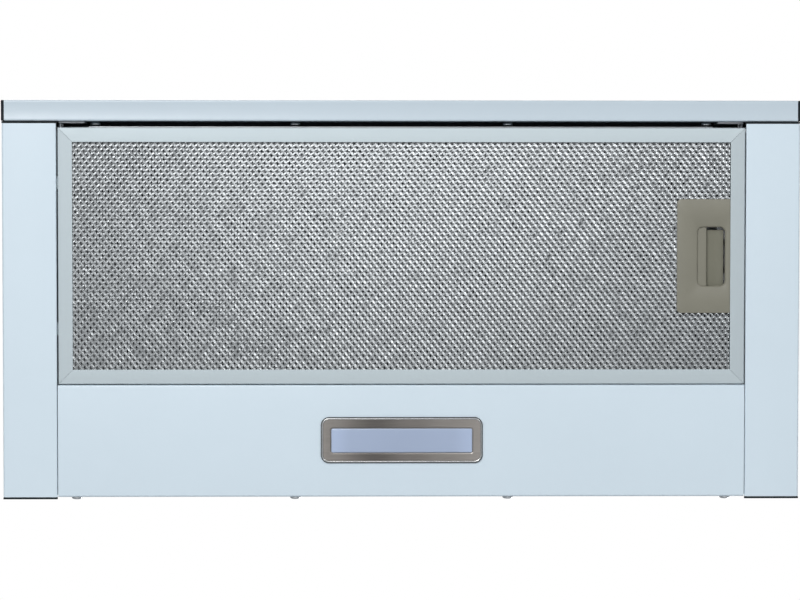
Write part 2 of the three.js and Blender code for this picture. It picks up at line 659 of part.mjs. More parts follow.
// Leaf spring over the notch; the slider's hook rests on its free edge.
const STRIKE_PATH = [[255.8, -26.3], [250.4, -26.3], [248.6, -27.4], [242.6, -27.4]];
const strikeShape = sheet(STRIKE_PATH, 0.7, 1, 0.9);
addPart('latch_strike', alongY(strikeShape, LATCH_MID_Y - 8, LATCH_MID_Y + 8), SPRING_STEEL);

const crossbarSection = sheet([
  [RUNNER_REAR_Y - 2, -16],
  [RUNNER_REAR_Y - 2, -27.1],
  [RUNNER_REAR_Y - 14, -27.1],
], -SHEET);
addPart('drawer_crossbar', alongX(crossbarSection, -255.8, 255.8), GALVANISED);

// Rails on the box's sides, and the runners on the drawer arms that slide in them.
const RAIL_PATH = [
  [RAIL_IN_X, RAIL_HIGH_Z - 3.5],
  [RAIL_IN_X, RAIL_HIGH_Z],
  [RAIL_OUT_X, RAIL_HIGH_Z],
  [RAIL_OUT_X, RAIL_LOW_Z],
  [RAIL_IN_X, RAIL_LOW_Z],
  [RAIL_IN_X, RAIL_LOW_Z + 3.5],
];
const RUNNER_SECTION = [
  [262.4, -24.6],
  [262.4, -11.4],
  [260.2, -11.4],
  [260.2, -16],
  [ARM_X + GAP, -16],
  [ARM_X + GAP, -20],
  [260.2, -20],
  [260.2, -24.6],
];
for (const side of [-1, 1]) {
  const name = sideName(side);
  addPart(`rail_${name}`, alongY(sheet(RAIL_PATH, -SHEET, side, 1), -128, 143), GALVANISED);
  const runner = polygon(mirrorX(RUNNER_SECTION, side));
  addPart(`runner_${name}`, alongY(runner, -128, RUNNER_REAR_Y), SPRING_STEEL);
}

// ---------------------------------------------------------------- blower
// The scroll's wall starts at a tongue near the top, runs round under the wheel and rises to the outlet.
const SCROLL_START_DEG = 70;
const SCROLL_SWEEP_DEG = 250;
const SCROLL_TOP_Z = BOX_TOP_Z - 1.3;
function scrollOutline(extra, topZ) {
  const points = [];
  const steps = 25;
  for (let i = 0; i <= steps; i += 1) {
    const angle = THREE.MathUtils.degToRad(SCROLL_START_DEG - (SCROLL_SWEEP_DEG * i) / steps);
    const radius = THREE.MathUtils.lerp(SCROLL_START_R, SCROLL_END_R, i / steps) + extra;
    points.push([FAN_Y + radius * Math.cos(angle), FAN_Z + radius * Math.sin(angle)]);
  }
  points.push([points[steps][0], topZ], [points[0][0], topZ]);
  return polygon(points);
}

const INLET_R = 37;
for (const side of [-1, 1]) {
  const [x0, x1] = [side * SCROLL_HALF_X, side * 0.2].sort((a, b) => a - b);
  const [inner0, inner1] = [side * (SCROLL_HALF_X - SCROLL_WALL), -side * 2].sort((a, b) => a - b);
  addPart(`fan_scroll_${sideName(side)}`, cut(
    alongX(scrollOutline(SCROLL_WALL, SCROLL_TOP_Z), x0, x1),
    alongX(scrollOutline(0, SCROLL_TOP_Z + 5), inner0, inner1),
    rodX(x0 - 5, x1 + 5, FAN_Y, FAN_Z, INLET_R, 32),
  ), GREY_PLASTIC);
}

const BLADES = 24;
const WHEEL_HALF_X = 31;
const SHAFT_R = 4;
function wheelRing(x0, x1) {
  return cut(rodX(x0, x1, 0, 0, WHEEL_R, 36), rodX(x0 - 1, x1 + 1, 0, 0, WHEEL_R - 9, 36));
}
const blades = [];
for (let i = 0; i < BLADES; i += 1) {
  const blade = box(-WHEEL_HALF_X + 0.5, WHEEL_HALF_X - 0.5, -0.6, 0.6, -3.6, 3.6).rotateX(-0.5);
  blades.push(blade.translate(0, 0, WHEEL_R - 4.6).rotateX((2 * Math.PI * i) / BLADES));
}
addPart('fan_wheel', cut(
  join(
    rodX(-1, 1, 0, 0, WHEEL_R - 0.5, 36),
    rodX(-9, 9, 0, 0, 9, 20),
    wheelRing(-WHEEL_HALF_X, -WHEEL_HALF_X + 1.5),
    wheelRing(WHEEL_HALF_X - 1.5, WHEEL_HALF_X),
    ...blades,
  ),
  rodX(-20, 20, 0, 0, SHAFT_R + GAP, 20),
).translate(0, FAN_Y, FAN_Z), GREY_PLASTIC);
addPart('fan_shaft', rodX(-12, 60, FAN_Y, FAN_Z, SHAFT_R, 20), SPRING_STEEL);

const MOTOR_X = [44, 92];
const LEG_R = 42;
const legs = [0, 1, 2].map((i) => (
  box(SCROLL_HALF_X + GAP, MOTOR_X[0] + 3, -4, 4, 20, LEG_R + 4)
    .rotateX((2 * Math.PI * i) / 3).translate(0, FAN_Y, FAN_Z)
));
addPart('fan_motor', cut(
  join(rodX(...MOTOR_X, FAN_Y, FAN_Z, 32, 32), ...legs),
  rodX(SCROLL_HALF_X, 61, FAN_Y, FAN_Z, SHAFT_R + 0.4, 20),
  rodX(SCROLL_HALF_X - 1, MOTOR_X[0] - 0.5, FAN_Y, FAN_Z, INLET_R - 2, 32),
), MOTOR_STEEL);

// ---------------------------------------------------------------- electrical parts
const FLOOR_Z = BASE_Z + SHEET + GAP;
addPart('run_capacitor', rodX(-190, -140, 95, FLOOR_Z + 16, 16), GREY_PLASTIC);
addPart('terminal_cover', cut(
  box(165, 235, 75, 125, FLOOR_Z, 30),
  box(167, 233, 77, 123, FLOOR_Z - 1, 28),
  rodZ(GLAND_X, GLAND_Y, 20, 40, 6, 16),
), GREY_PLASTIC);
const glandProfile = [
  [4, BOX_TOP_Z - 12],
  [8, BOX_TOP_Z - 12],
  [8, BOX_TOP_Z + GAP],
  [12, BOX_TOP_Z + GAP],
  [12, BOX_TOP_Z + 5],
  [9, BOX_TOP_Z + 6],
  [9, BOX_TOP_Z + 13],
  [6.5, BOX_TOP_Z + 16],
  [4, BOX_TOP_Z + 16],
  [4, BOX_TOP_Z - 12],
].map(([r, z]) => new THREE.Vector2(r, z));
addPart(
  'cable_gland',
  new THREE.LatheGeometry(glandProfile, 18).rotateX(Math.PI / 2).translate(GLAND_X, GLAND_Y, 0),
  BLACK_PLASTIC,
);

// ---------------------------------------------------------------- outlet collar and dampers
const COLLAR_INNER_R = OUTLET_R - OUTLET_WALL;
const FLANGE_Z = BOX_TOP_Z + GAP;
const flapAxisY = (end) => OUTLET_Y + end * FLAP_AXIS_OFFSET;
const PIN_R = 1.5;
addPart('outlet_collar', cut(
  join(
    rodZ(0, OUTLET_Y, FLANGE_Z, FLANGE_Z + 2, OUTLET_R + 9, 48),
    rodZ(0, OUTLET_Y, FLANGE_Z, OUTLET_TOP_Z, OUTLET_R, 48),
  ),
  rodZ(0, OUTLET_Y, FLANGE_Z - 1, OUTLET_TOP_Z + 1, COLLAR_INNER_R, 48),
  ...[-1, 1].map((end) => rodX(-58.9, 58.9, flapAxisY(end), FLAP_Z, PIN_R + GAP, 12)),
), GREY_PLASTIC);

// Each flap is half a disc on its own pin. It lies shut and the fan's air lifts it.
const FLAP_R = 56;
for (const [end, name] of [[-1, 'front'], [1, 'rear']]) {
  const half = [];
  for (const [x, y] of arc(0, 0, FLAP_R, 0, 180, 20)) {
    half.push([x, OUTLET_Y + end * Math.max(y, FLAP_AXIS_OFFSET)]);
  }
  addPart(`damper_flap_${name}`, join(
    alongZ(polygon(half), FLAP_Z - FLAP_T / 2, FLAP_Z + FLAP_T / 2),
    rodX(-58.5, 58.5, flapAxisY(end), FLAP_Z, PIN_R, 12),
  ), GREY_PLASTIC);
}

export default hood;
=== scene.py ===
"""Telescopic under cabinet range hood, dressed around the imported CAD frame.

Metres, +Z up, the hood's front towards -Y. Shapes are written in millimetres and scaled once.
"""

import json
import math

import bmesh
import bpy
import numpy as np
from mathutils import Matrix, Vector

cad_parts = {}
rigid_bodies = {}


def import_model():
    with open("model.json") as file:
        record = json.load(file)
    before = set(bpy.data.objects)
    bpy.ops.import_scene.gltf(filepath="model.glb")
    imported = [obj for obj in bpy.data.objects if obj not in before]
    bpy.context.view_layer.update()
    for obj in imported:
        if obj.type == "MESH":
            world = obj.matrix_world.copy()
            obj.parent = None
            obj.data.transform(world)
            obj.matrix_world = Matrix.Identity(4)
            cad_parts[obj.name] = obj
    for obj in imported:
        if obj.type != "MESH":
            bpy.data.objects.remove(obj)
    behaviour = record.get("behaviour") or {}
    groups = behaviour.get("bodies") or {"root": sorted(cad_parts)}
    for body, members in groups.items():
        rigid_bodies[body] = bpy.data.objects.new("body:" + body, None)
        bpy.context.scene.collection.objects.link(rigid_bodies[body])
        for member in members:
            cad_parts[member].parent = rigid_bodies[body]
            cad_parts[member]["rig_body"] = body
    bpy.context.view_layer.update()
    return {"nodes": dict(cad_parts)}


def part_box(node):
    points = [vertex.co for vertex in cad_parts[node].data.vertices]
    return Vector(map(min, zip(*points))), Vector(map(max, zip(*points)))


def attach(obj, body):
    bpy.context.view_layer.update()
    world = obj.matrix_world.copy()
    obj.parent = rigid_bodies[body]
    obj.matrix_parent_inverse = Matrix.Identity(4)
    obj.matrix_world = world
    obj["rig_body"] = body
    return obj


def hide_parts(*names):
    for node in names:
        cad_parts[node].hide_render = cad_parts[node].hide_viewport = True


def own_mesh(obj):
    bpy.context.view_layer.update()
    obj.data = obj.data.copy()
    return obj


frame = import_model()
MM = 0.001
scene = bpy.context.scene

# ------------------------------------------------------------------ positions from the frame
def mm_box(node):
    """Lowest and highest corner of a CAD node, in millimetres."""
    low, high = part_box(node)
    return low / MM, high / MM


FASCIA = mm_box("fascia")
FILTER = mm_box("filter_frame")
FILTER_LEFT = mm_box("filter_mesh")[0].x - 2  # the hinge tongues stand out past the frame's left
PANEL = mm_box("light_panel")
BEZEL = mm_box("lamp_bezel")
LENS = mm_box("lamp_lens")
LATCH = mm_box("latch_housing")
SLIDER = mm_box("latch_slider")
MESH = mm_box("filter_mesh")
INNER_MESH = mm_box("inner_filter_mesh")
COLLAR = mm_box("outlet_collar")
GLAND = mm_box("cable_gland")
SHELL = mm_box("housing_shell")
BUTTONS = [name for name in frame["nodes"] if name.startswith("button_")]
REAR_SCREWS = [f"rear_screw_{i}" for i in range(1, 5)]
FRONT_SCREWS = [f"front_screw_{i}" for i in range(1, 5)]


# ------------------------------------------------------------------ materials
class Finish:
    """A Principled material and the node helpers that dress it."""

    def __init__(self, name, color, roughness, metallic=0.0, **extra):
        self.material = bpy.data.materials.new(name)
        self.material.use_nodes = True
        self.tree = self.material.node_tree
        self.shader = self.tree.nodes["Principled BSDF"]
        self.coord = self.tree.nodes.new("ShaderNodeTexCoord")
        self.color = (*color, 1.0)
        self.roughness = roughness
        self.shader.inputs["Base Color"].default_value = self.color
        self.shader.inputs["Roughness"].default_value = roughness
        self.shader.inputs["Metallic"].default_value = metallic
        for socket, value in extra.items():
            self.shader.inputs[socket.replace("_", " ")].default_value = value

    def node(self, kind, **props):
        made = self.tree.nodes.new(kind)
        for key, value in props.items():
            setattr(made, key, value)
        return made

    def link(self, out, into):
        self.tree.links.new(out, into)

    def mapped(self, stretch=(1, 1, 1)):
        mapping = self.node("ShaderNodeMapping")
        mapping.inputs["Scale"].default_value = stretch
        self.link(self.coord.outputs["Object"], mapping.inputs["Vector"])
        return mapping.outputs["Vector"]

    def noise(self, scale, detail=3.0, stretch=(1, 1, 1), rough=0.5):
        made = self.node("ShaderNodeTexNoise")
        made.inputs["Scale"].default_value = scale
        made.inputs["Detail"].default_value = detail
        made.inputs["Roughness"].default_value = rough
        self.link(self.mapped(stretch), made.inputs["Vector"])
        return made.outputs["Fac"]

    def ramp_along(self, axis, stops):
        """A smooth value along one object axis, from (metres, value) stops."""
        split = self.node("ShaderNodeSeparateXYZ")
        self.link(self.coord.outputs["Object"], split.inputs[0])
        first, last = stops[0][0], stops[-1][0]
        place = self.remap(split.outputs[axis], 0, 1, (first, last))
        ramp = self.node("ShaderNodeValToRGB")
        ramp.color_ramp.interpolation = "EASE"
        for i, (where, value) in enumerate(stops):
            at = (where - first) / (last - first)
            stop = ramp.color_ramp.elements[i] if i < 2 else ramp.color_ramp.elements.new(at)
            stop.position = at
            stop.color = (value, value, value, 1)
        self.link(place, ramp.inputs["Fac"])
        return ramp.outputs["Color"]

    def cells(self, scale):
        made = self.node("ShaderNodeTexVoronoi")
        made.inputs["Scale"].default_value = scale
        self.link(self.mapped(), made.inputs["Vector"])
        return made.outputs["Color"]

    def remap(self, value, low, high, frm=(0.3, 0.7)):
        made = self.node("ShaderNodeMapRange")
        made.inputs["From Min"].default_value = frm[0]
        made.inputs["From Max"].default_value = frm[1]
        made.inputs["To Min"].default_value = low
        made.inputs["To Max"].default_value = high
        self.link(value, made.inputs["Value"])
        return made.outputs["Result"]

    def shade(self, value, spread, frm=(0.3, 0.7)):
        """Varies the base colour by +-spread of its brightness."""
        made = self.node("ShaderNodeMix", data_type="RGBA")
        made.inputs["A"].default_value = tuple(c * (1 - spread) for c in self.color[:3]) + (1,)
        light = tuple(min(1, c * (1 + spread)) for c in self.color[:3])
        made.inputs["B"].default_value = light + (1,)
        self.link(self.remap(value, 0, 1, frm), made.inputs["Factor"])
        self.link(made.outputs["Result"], self.shader.inputs["Base Color"])
        return self

    def rough(self, value, spread, frm=(0.3, 0.7)):
        low, high = self.roughness - spread, self.roughness + spread
        self.link(self.remap(value, low, high, frm), self.shader.inputs["Roughness"])
        return self

    def bump(self, value, strength, distance):
        made = self.node("ShaderNodeBump")
        made.inputs["Strength"].default_value = strength
        made.inputs["Distance"].default_value = distance
        self.link(value, made.inputs["Height"])
        self.link(made.outputs["Normal"], self.shader.inputs["Normal"])
        return self


def powder_coat(name, color):
    """Satin powder coat: fine orange peel and a very faint mottle."""
    finish = Finish(name, color, 0.36, Coat_Weight=0.25, Coat_Roughness=0.18)
    finish.shade(finish.noise(9, 4), 0.012)
    finish.rough(finish.noise(140, 3), 0.05)
    return finish.bump(finish.noise(900, 2), 0.12, 0.0002).material


def brushed(name, color, roughness, along, grain, spread, depth, metallic=1.0):
    """Metal with fine parallel grain along one axis."""
    stretch = [1.0, 1.0, 1.0]
    stretch["XYZ".index(along)] = 0.02
    finish = Finish(name, color, roughness, metallic)
    lines = finish.noise(grain, 4, tuple(stretch), 0.65)
    finish.shade(lines, spread)
    finish.rough(lines, 0.07)
    return finish.bump(lines, depth, 0.00006).material


def moulded(name, color, roughness, grain=1500, depth=0.18, specular=0.5):
    """Moulded plastic with a fine spark-eroded grain."""
    finish = Finish(name, color, roughness, Specular_IOR_Level=specular)
    finish.shade(finish.noise(35, 4), 0.04)
    finish.rough(finish.noise(220, 3), 0.06)
    return finish.bump(finish.noise(grain, 3), depth, 0.0002).material


def galvanised(name, color):
    """Hot-dip zinc with its spangle."""
    finish = Finish(name, color, 0.42, 1.0)
    spangle = finish.cells(190)
    finish.shade(spangle, 0.06, (0.1, 0.9))
    finish.rough(spangle, 0.05, (0.1, 0.9))
    return finish.bump(finish.noise(400, 3), 0.06, 0.0002).material


WHITE = powder_coat("white_powder_coat", (0.735, 0.85, 0.93))
FASCIA_WHITE = powder_coat("fascia_powder_coat", (0.60, 0.695, 0.765))
BLACK = moulded("black_plastic", (0.008, 0.014, 0.018), 0.55, specular=0.2)
# Dark rubber for the fascia's seal, also used for the dark discs behind the front screws, which are
# painted shade.
SEAL = moulded("seal_rubber", (0.03, 0.038, 0.043), 0.8)
ZINC = galvanised("galvanised_sheet", (0.66, 0.68, 0.70))
BRIGHT_ZINC = galvanised("bright_zinc_sheet", (0.80, 0.81, 0.83))
# One aluminium for all the frame's bars: the side bars' darker copy is painted shade.
FRAME_X = brushed("frame_aluminium_x", (0.575, 0.65, 0.68), 0.58, "X", 1800, 0.03, 0.12, 0.4)
FRAME_Y_SHADE = brushed("frame_aluminium_y_painted_shade", (0.54, 0.61, 0.64), 0.58, "Y", 1800, 0.03, 0.12, 0.4)
SCREW = brushed("bright_zinc", (0.80, 0.82, 0.83), 0.24, "X", 1200, 0.04, 0.1)
SPRING = brushed("spring_steel", (0.50, 0.51, 0.53), 0.32, "Y", 1500, 0.06, 0.15)
# The bezel's rim is the same metal as its band, coloured lighter: a painted highlight on its
# chamfer.
BEZEL_RIM_HIGHLIGHT = brushed("bezel_rim_painted_highlight", (0.60, 0.60, 0.59), 0.24, "X", 2400, 0.06, 0.1)


def brushed_bezel():
    """Grain along the lamp, with a painted reflection: the colour lightens towards both ends and
    darkens just left of the middle.
    """
    finish = Finish("bezel_steel", (0.295, 0.272, 0.252), 0.36, 1.0)
    # Painted reflection: brightness stops along X that stand in for the light the drawn metal
    # catches.
    stops = [(-0.061, 0.60), (-0.052, 0.47), (-0.022, 0.08)]
    stops += [(0.008, 0.30), (0.035, 0.52), (0.062, 0.72)]
    painted_sheen = finish.ramp_along("X", stops)
    lines = finish.noise(2400, 4, (0.02, 1, 1), 0.65)
    blend = finish.node("ShaderNodeMath", operation="MULTIPLY_ADD")
    finish.link(lines, blend.inputs[0])
    blend.inputs[1].default_value = 0.3
    finish.link(painted_sheen, blend.inputs[2])
    finish.shade(blend.outputs[0], 0.62, (0.1, 1.0))
    finish.rough(lines, 0.06)
    return finish.bump(lines, 0.25, 0.00006).material


BEZEL_METAL = brushed_bezel()
TAUPE = moulded("taupe_plastic", (0.245, 0.235, 0.185), 0.42, 1800, 0.15)
# The finger tray's taupe: rougher and coarser grained, and darker in colour as painted shade in the
# deep pocket.
TAUPE_GRAIN_AND_SHADE = moulded("taupe_grain_and_painted_shade", (0.195, 0.19, 0.142), 0.6, 900, 0.3)
# A dark ring standing for the shadow gap round the bezel: painted shadow.
BEZEL_SHADOW_RING = moulded("bezel_seal_painted_shadow", (0.05, 0.052, 0.052), 0.7, specular=0.2)
LAMP_GASKET = moulded("lamp_gasket", (0.25, 0.245, 0.235), 0.6)
GREY = moulded("grey_plastic", (0.10, 0.105, 0.11), 0.5)
MOTOR = moulded("motor_enamel", (0.06, 0.063, 0.07), 0.5)
BOARD = moulded("board_laminate", (0.04, 0.16, 0.08), 0.5)


def mesh_metal(name, color, roughness):
    """Expanded aluminium: each strand is cut and stretched a little differently."""
    finish = Finish(name, color, roughness, 1.0)
    finish.shade(finish.noise(260, 3), 0.1)
    finish.rough(finish.noise(500, 2), 0.06)
    return finish.bump(finish.noise(1400, 3), 0.3, 0.0001).material


MESH_FACE = mesh_metal("mesh_face", (0.31, 0.325, 0.333), 0.29)
# The layers behind the face sheet are the same aluminium coloured darker: painted shade.
MESH_SECOND_SHADE = mesh_metal("mesh_second_painted_shade", (0.11, 0.115, 0.12), 0.36)
MESH_BACK_SHADE = mesh_metal("mesh_back", (0.05, 0.053, 0.056), 0.4)


def lens_plastic():
    """Frosted acrylic, a little lighter towards both ends."""
    finish = Finish("lens_plastic", (0.415, 0.50, 0.675), 0.32, Coat_Weight=0.5, Coat_Roughness=0.1)
    stops = [(-0.053, 1.0), (-0.036, 0.45), (0.0, 0.3), (0.036, 0.42), (0.054, 0.95)]
    finish.shade(finish.ramp_along("X", stops), 0.14, (0, 1))
    return finish.bump(finish.noise(1800, 2), 0.1, 0.0002).material


LENS_PLASTIC = lens_plastic()


# ------------------------------------------------------------------ mesh helpers
def arc(cx, cy, radius, start, stop, steps):
    out = []
    for i in range(steps + 1):
        angle = math.radians(start + (stop - start) * i / steps)
        out.append((cx + radius * math.cos(angle), cy + radius * math.sin(angle)))
    return out


def rounded_loop(x0, x1, y0, y1, radius, z, steps=6):
    corners = (
        (x1 - radius, y0 + radius, -90),
        (x1 - radius, y1 - radius, 0),
        (x0 + radius, y1 - radius, 90),
        (x0 + radius, y0 + radius, 180),
    )
    return [(x, y, z) for cx, cy, a in corners for x, y in arc(cx, cy, radius, a, a + 90, steps)]


def circle_loop(cx, cy, radius, z, sides=48):
    turns = [2 * math.pi / sides * i for i in range(sides)]
    return [(cx + radius * math.cos(a), cy + radius * math.sin(a), z) for a in turns]


def loft(loops, closed=False):
    """Joins loops of equal length with quads, and caps the ends or joins them if closed."""
    count = len(loops[0])
    verts = [p for loop in loops for p in loop]
    faces = []
    rounds = len(loops) if closed else len(loops) - 1
    for k in range(rounds):
        a, b = k * count, ((k + 1) % len(loops)) * count
        for i in range(count):
            j = (i + 1) % count
            faces.append((a + i, a + j, b + j, b + i))
    if not closed:
        faces.append(tuple(range(count))[::-1])
        faces.append(tuple(range((len(loops) - 1) * count, len(loops) * count)))
    return verts, faces


def prism(section, axis, start, stop):
    """Runs a closed section along an axis: (y, z) along X, (x, z) along Y, (x, y) along Z."""
    place = {
        "X": lambda p, t: (t, p[0], p[1]),
        "Y": lambda p, t: (p[0], t, p[1]),
        "Z": lambda p, t: (p[0], p[1], t),
    }[axis]
    return loft([[place(p, start) for p in section], [place(p, stop) for p in section]])


def merged(*parts):
    verts, faces = [], []
    for part_verts, part_faces in parts:
        base = len(verts)
        verts.extend(part_verts)
        faces.extend(tuple(i + base for i in face) for face in part_faces)
    return verts, faces


def moved(part, offset=(0, 0, 0), turn=None):
    matrix = Matrix.Translation(offset) @ (turn.to_4x4() if turn else Matrix.Identity(4))
    return [tuple(matrix @ Vector(v)) for v in part[0]], part[1]


def new_object(name, part):
    mesh = bpy.data.meshes.new(name)
    verts, faces = part
    mesh.from_pydata([(x * MM, y * MM, z * MM) for x, y, z in verts], [], faces)
    mesh.validate()
    made = bpy.data.objects.new(name, mesh)
    scene.collection.objects.link(made)
    return made


def tidy(made, angle=32):
    """Faces outwards, smooth across shallow angles and sharp across the rest."""
    work = bmesh.new()
    work.from_mesh(made.data)
    bmesh.ops.remove_doubles(work, verts=work.verts, dist=1e-7)
    bmesh.ops.recalc_face_normals(work, faces=work.faces)
    work.to_mesh(made.data)
    work.free()
    made.data.polygons.foreach_set("use_smooth", [True] * len(made.data.polygons))
    made.data.set_sharp_from_angle(angle=math.radians(angle))


def bevel(made, width, segments=2, angle=32):
    soft = made.modifiers.new("edge", "BEVEL")
    soft.width = width * MM
    soft.segments = segments
    soft.limit_method = "ANGLE"
    soft.angle_limit = math.radians(angle)
    soft.harden_normals = True
    soft.use_clamp_overlap = True


def cut(made, *cutters):
    """Takes the cutters out of the object and deletes them."""
    tools = [new_object("cutter", c) for c in cutters]
    for tool in tools:
        tidy(tool)
        step = made.modifiers.new("cut", "BOOLEAN")
        step.object = tool
        step.operation = "DIFFERENCE"
        step.solver = "EXACT"
    deps = bpy.context.evaluated_depsgraph_get()
    result = bpy.data.meshes.new_from_object(made.evaluated_get(deps))
    made.modifiers.clear()
    made.data = result
    for tool in tools:
        bpy.data.objects.remove(tool)


def piece(name, part, body, material, nodes=(), round_edge=0.25, cuts=(), angle=32):
    """Makes a piece that rides on a body, and stands for the CAD nodes named."""
    made = new_object(name, part)
    tidy(made, angle)
    if cuts:
        cut(made, *cuts)
        tidy(made, angle)
    made.data.materials.clear()
    made.data.materials.append(material)
    if round_edge:
        bevel(made, round_edge, angle=angle)
    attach(made, body)
    if nodes:
        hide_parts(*nodes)
    return made


def box(x0, x1, y0, y1, z0, z1):
    section = [(x0, y0), (x1, y0), (x1, y1), (x0, y1)]
    return prism(section, "Z", z0, z1)


def rod(axis, start, stop, a, b, radius, sides=32):
    """A round bar along an axis, centred at (a, b) in the other two."""
    return prism([(x, y) for x, y, _ in circle_loop(a, b, radius, 0, sides)], axis, start, stop)


def lathe(rings, x=0, y=0, sides=48, closed=False):
    """A turned shape about a line along Z, from (radius, z) rings."""
    return loft([circle_loop(x, y, r, z, sides) for r, z in rings], closed)


def lathe_y(rings, x, y, z, sides=48, closed=False, sign=1):
    """A turned shape about a line along Y, from (radius, distance from y) rings."""
    circles = [(circle_loop(0, 0, r, 0, sides), y + sign * t) for r, t in rings]
    return loft([[(x + a, at, z + b) for a, b, _ in circle] for circle, at in circles], closed)


def mid_of(low, high):
    return (low + high) / 2


# ------------------------------------------------------------------ white outer sheets
FASCIA_CAP_X = mm_box("fascia_cap_right")[1].x
FASCIA_CAP_REACH = 2.3  # the end cap's thickness with the hairline joint beside it
FASCIA_SCOOP_R = 70.0  # the underside's slight hollow for the fingers
FASCIA_SHEET = 1.0
FASCIA_LIP = 6.0
BUTTON_HOLE_R = 5.4


def fascia_line(inset=0.0):
    """The fascia's line in (y, z), from its rear top lip round to its front top lip."""
    front, back = FASCIA[0].y + inset, FASCIA[1].y - inset
    low, top = FASCIA[0].z, FASCIA[1].z - inset
    front_corner, rear_corner = FASCIA[0].y + 1.2, FASCIA[1].y - 1.0
    half = (rear_corner - front_corner) / 2
    sweep = math.degrees(math.asin(half / FASCIA_SCOOP_R))
    centre_z = low - FASCIA_SCOOP_R * math.cos(math.radians(sweep))
    corner = 1.1 - min(inset, 0.8)
    base = low + inset
    line = [(back - FASCIA_LIP, top), (back, top)]
    line += arc(back - corner, base + corner, corner, 0, -75, 6)
    line += arc(front_corner + half, centre_z, FASCIA_SCOOP_R + inset, 90 - sweep, 90 + sweep, 14)
    line += arc(front + corner, base + corner, corner, -105, -180, 6)
    line += [(front, top), (front + FASCIA_LIP, top)]
    return line


def fascia():
    section = fascia_line() + fascia_line(FASCIA_SHEET)[::-1]
    reach = FASCIA_CAP_X - FASCIA_CAP_REACH
    front = FASCIA[0].y
    holes = []
    for name in BUTTONS:
        mid = mid_of(*mm_box(name))
        holes.append(rod("Y", front - 2, front + 3, mid.x, mid.z, BUTTON_HOLE_R, 48))
    skin = prism(section, "X", -reach, reach)
    piece("fascia_skin", skin, "drawer", FASCIA_WHITE, ["fascia"], 0.2, holes)
    for name in ("left", "right"):
        low, high = mm_box(f"fascia_cap_{name}")
        part = prism(fascia_line(), "X", low.x, high.x)
        piece(f"fascia_end_{name}", part, "drawer", BLACK, [f"fascia_cap_{name}"], 0.45)


CHANNEL_UPRIGHT_X = 265.3  # the inner upright, folded back from the rolled inner edge
CHANNEL_LIP = 2.2
CHANNEL_SHELF = 14.5


def side_channels():
    lip, sheet, upright = CHANNEL_LIP, 1.0, CHANNEL_UPRIGHT_X
    for side, name in ((-1, "left"), (1, "right")):
        low, high = mm_box(f"side_channel_{name}")
        inner = min(abs(low.x), abs(high.x))
        outer = max(abs(low.x), abs(high.x))
        bottom, top = low.z, high.z
        shelf = outer - CHANNEL_SHELF
        line = [(upright, top - 3), (upright, bottom + lip)]
        line += arc(inner + lip / 2, bottom + lip / 2, lip / 2, 90, 270, 10)
        line += arc(outer - 1.6, bottom + 1.6, 1.6, -90, 0, 8)
        line += arc(outer - 1.6, top - 1.6, 1.6, 0, 90, 8)
        line += [(shelf, top), (shelf, top - sheet), (outer - sheet, top - sheet)]
        line += [(outer - sheet, bottom + sheet), (upright + sheet, bottom + sheet)]
        line += [(upright + sheet, top - 3)]
        part = prism([(x * side, z) for x, z in line], "Y", low.y, high.y)
        skin_name = f"side_channel_skin_{name}"
        piece(skin_name, part, "housing", WHITE, [f"side_channel_{name}"], 0.15)


def bent(points, radius, thickness, steps=6):
    """The closed section of a sheet bent along the points; the metal lies to the left."""
    line = [points[0]]
    for i in range(1, len(points) - 1):
        corner = Vector(points[i])
        back = (Vector(points[i - 1]) - corner).normalized()
        ahead = (Vector(points[i + 1]) - corner).normalized()
        half = math.acos(max(-1, min(1, back.dot(ahead)))) / 2
        centre = corner + (back + ahead).normalized() * (radius / math.sin(half))
        start = corner + back * (radius / math.tan(half)) - centre
        end = corner + ahead * (radius / math.tan(half)) - centre
        sweep = math.atan2(start.x * end.y - start.y * end.x, start.dot(end))
        for k in range(steps + 1):
            c, s = math.cos(sweep * k / steps), math.sin(sweep * k / steps)
            across, up = start.x * c - start.y * s, start.x * s + start.y * c
            line.append((centre.x + across, centre.y + up))
    line.append(points[-1])
    inner = []
    last = len(line) - 1
    for i, point in enumerate(line):
        a, b = Vector(line[max(i - 1, 0)]), Vector(line[max(i, 1)])
        c, d = Vector(line[min(i, last - 1)]), Vector(line[min(i + 1, last)])
        before = Vector((a.y - b.y, b.x - a.x)).normalized()
        after = Vector((c.y - d.y, d.x - c.x)).normalized()
        mitre = (before + after).normalized()
        reach = thickness / mitre.dot(after)
        inner.append((point[0] + mitre.x * reach, point[1] + mitre.y * reach))
    return line + inner[::-1]


PANEL_FRONT_FLANGE = 8.0
LAMP_HOLE_HALF = (56.0, 13.0)


def light_panel():
    low, high = PANEL
    line = [(low.y, low.z + PANEL_FRONT_FLANGE), (low.y, low.z), (high.y, low.z), (high.y, high.z)]
    section = bent(line, 1.6, 1.0, 8)
    mid_y = mid_of(*BEZEL).y
    half_x, half_y = LAMP_HOLE_HALF
    holes = [box(-half_x, half_x, mid_y - half_y, mid_y + half_y, low.z - 2, low.z + 3)]
    for name in REAR_SCREWS:
        mid = mid_of(*mm_box(name))
        holes.append(rod("Y", high.y - 4, high.y + 4, mid.x, mid.z, 2.1, 24))
    skin = prism(section, "X", low.x, high.x)
    piece("light_panel_skin", skin, "housing", WHITE, ["light_panel"], 0.2, holes)


# ------------------------------------------------------------------ filter cassette
BAR = 10.8
FRAME_SHEET = 0.8
FRAME_FOLD_R = 0.7
MITRE_GAP = 0.07
TONGUE_OFF = 54.7  # the two hinge tongues, each side of the middle
TONGUE_HALF = 4.75
TONGUE_Z = (-36.3, -35.3)


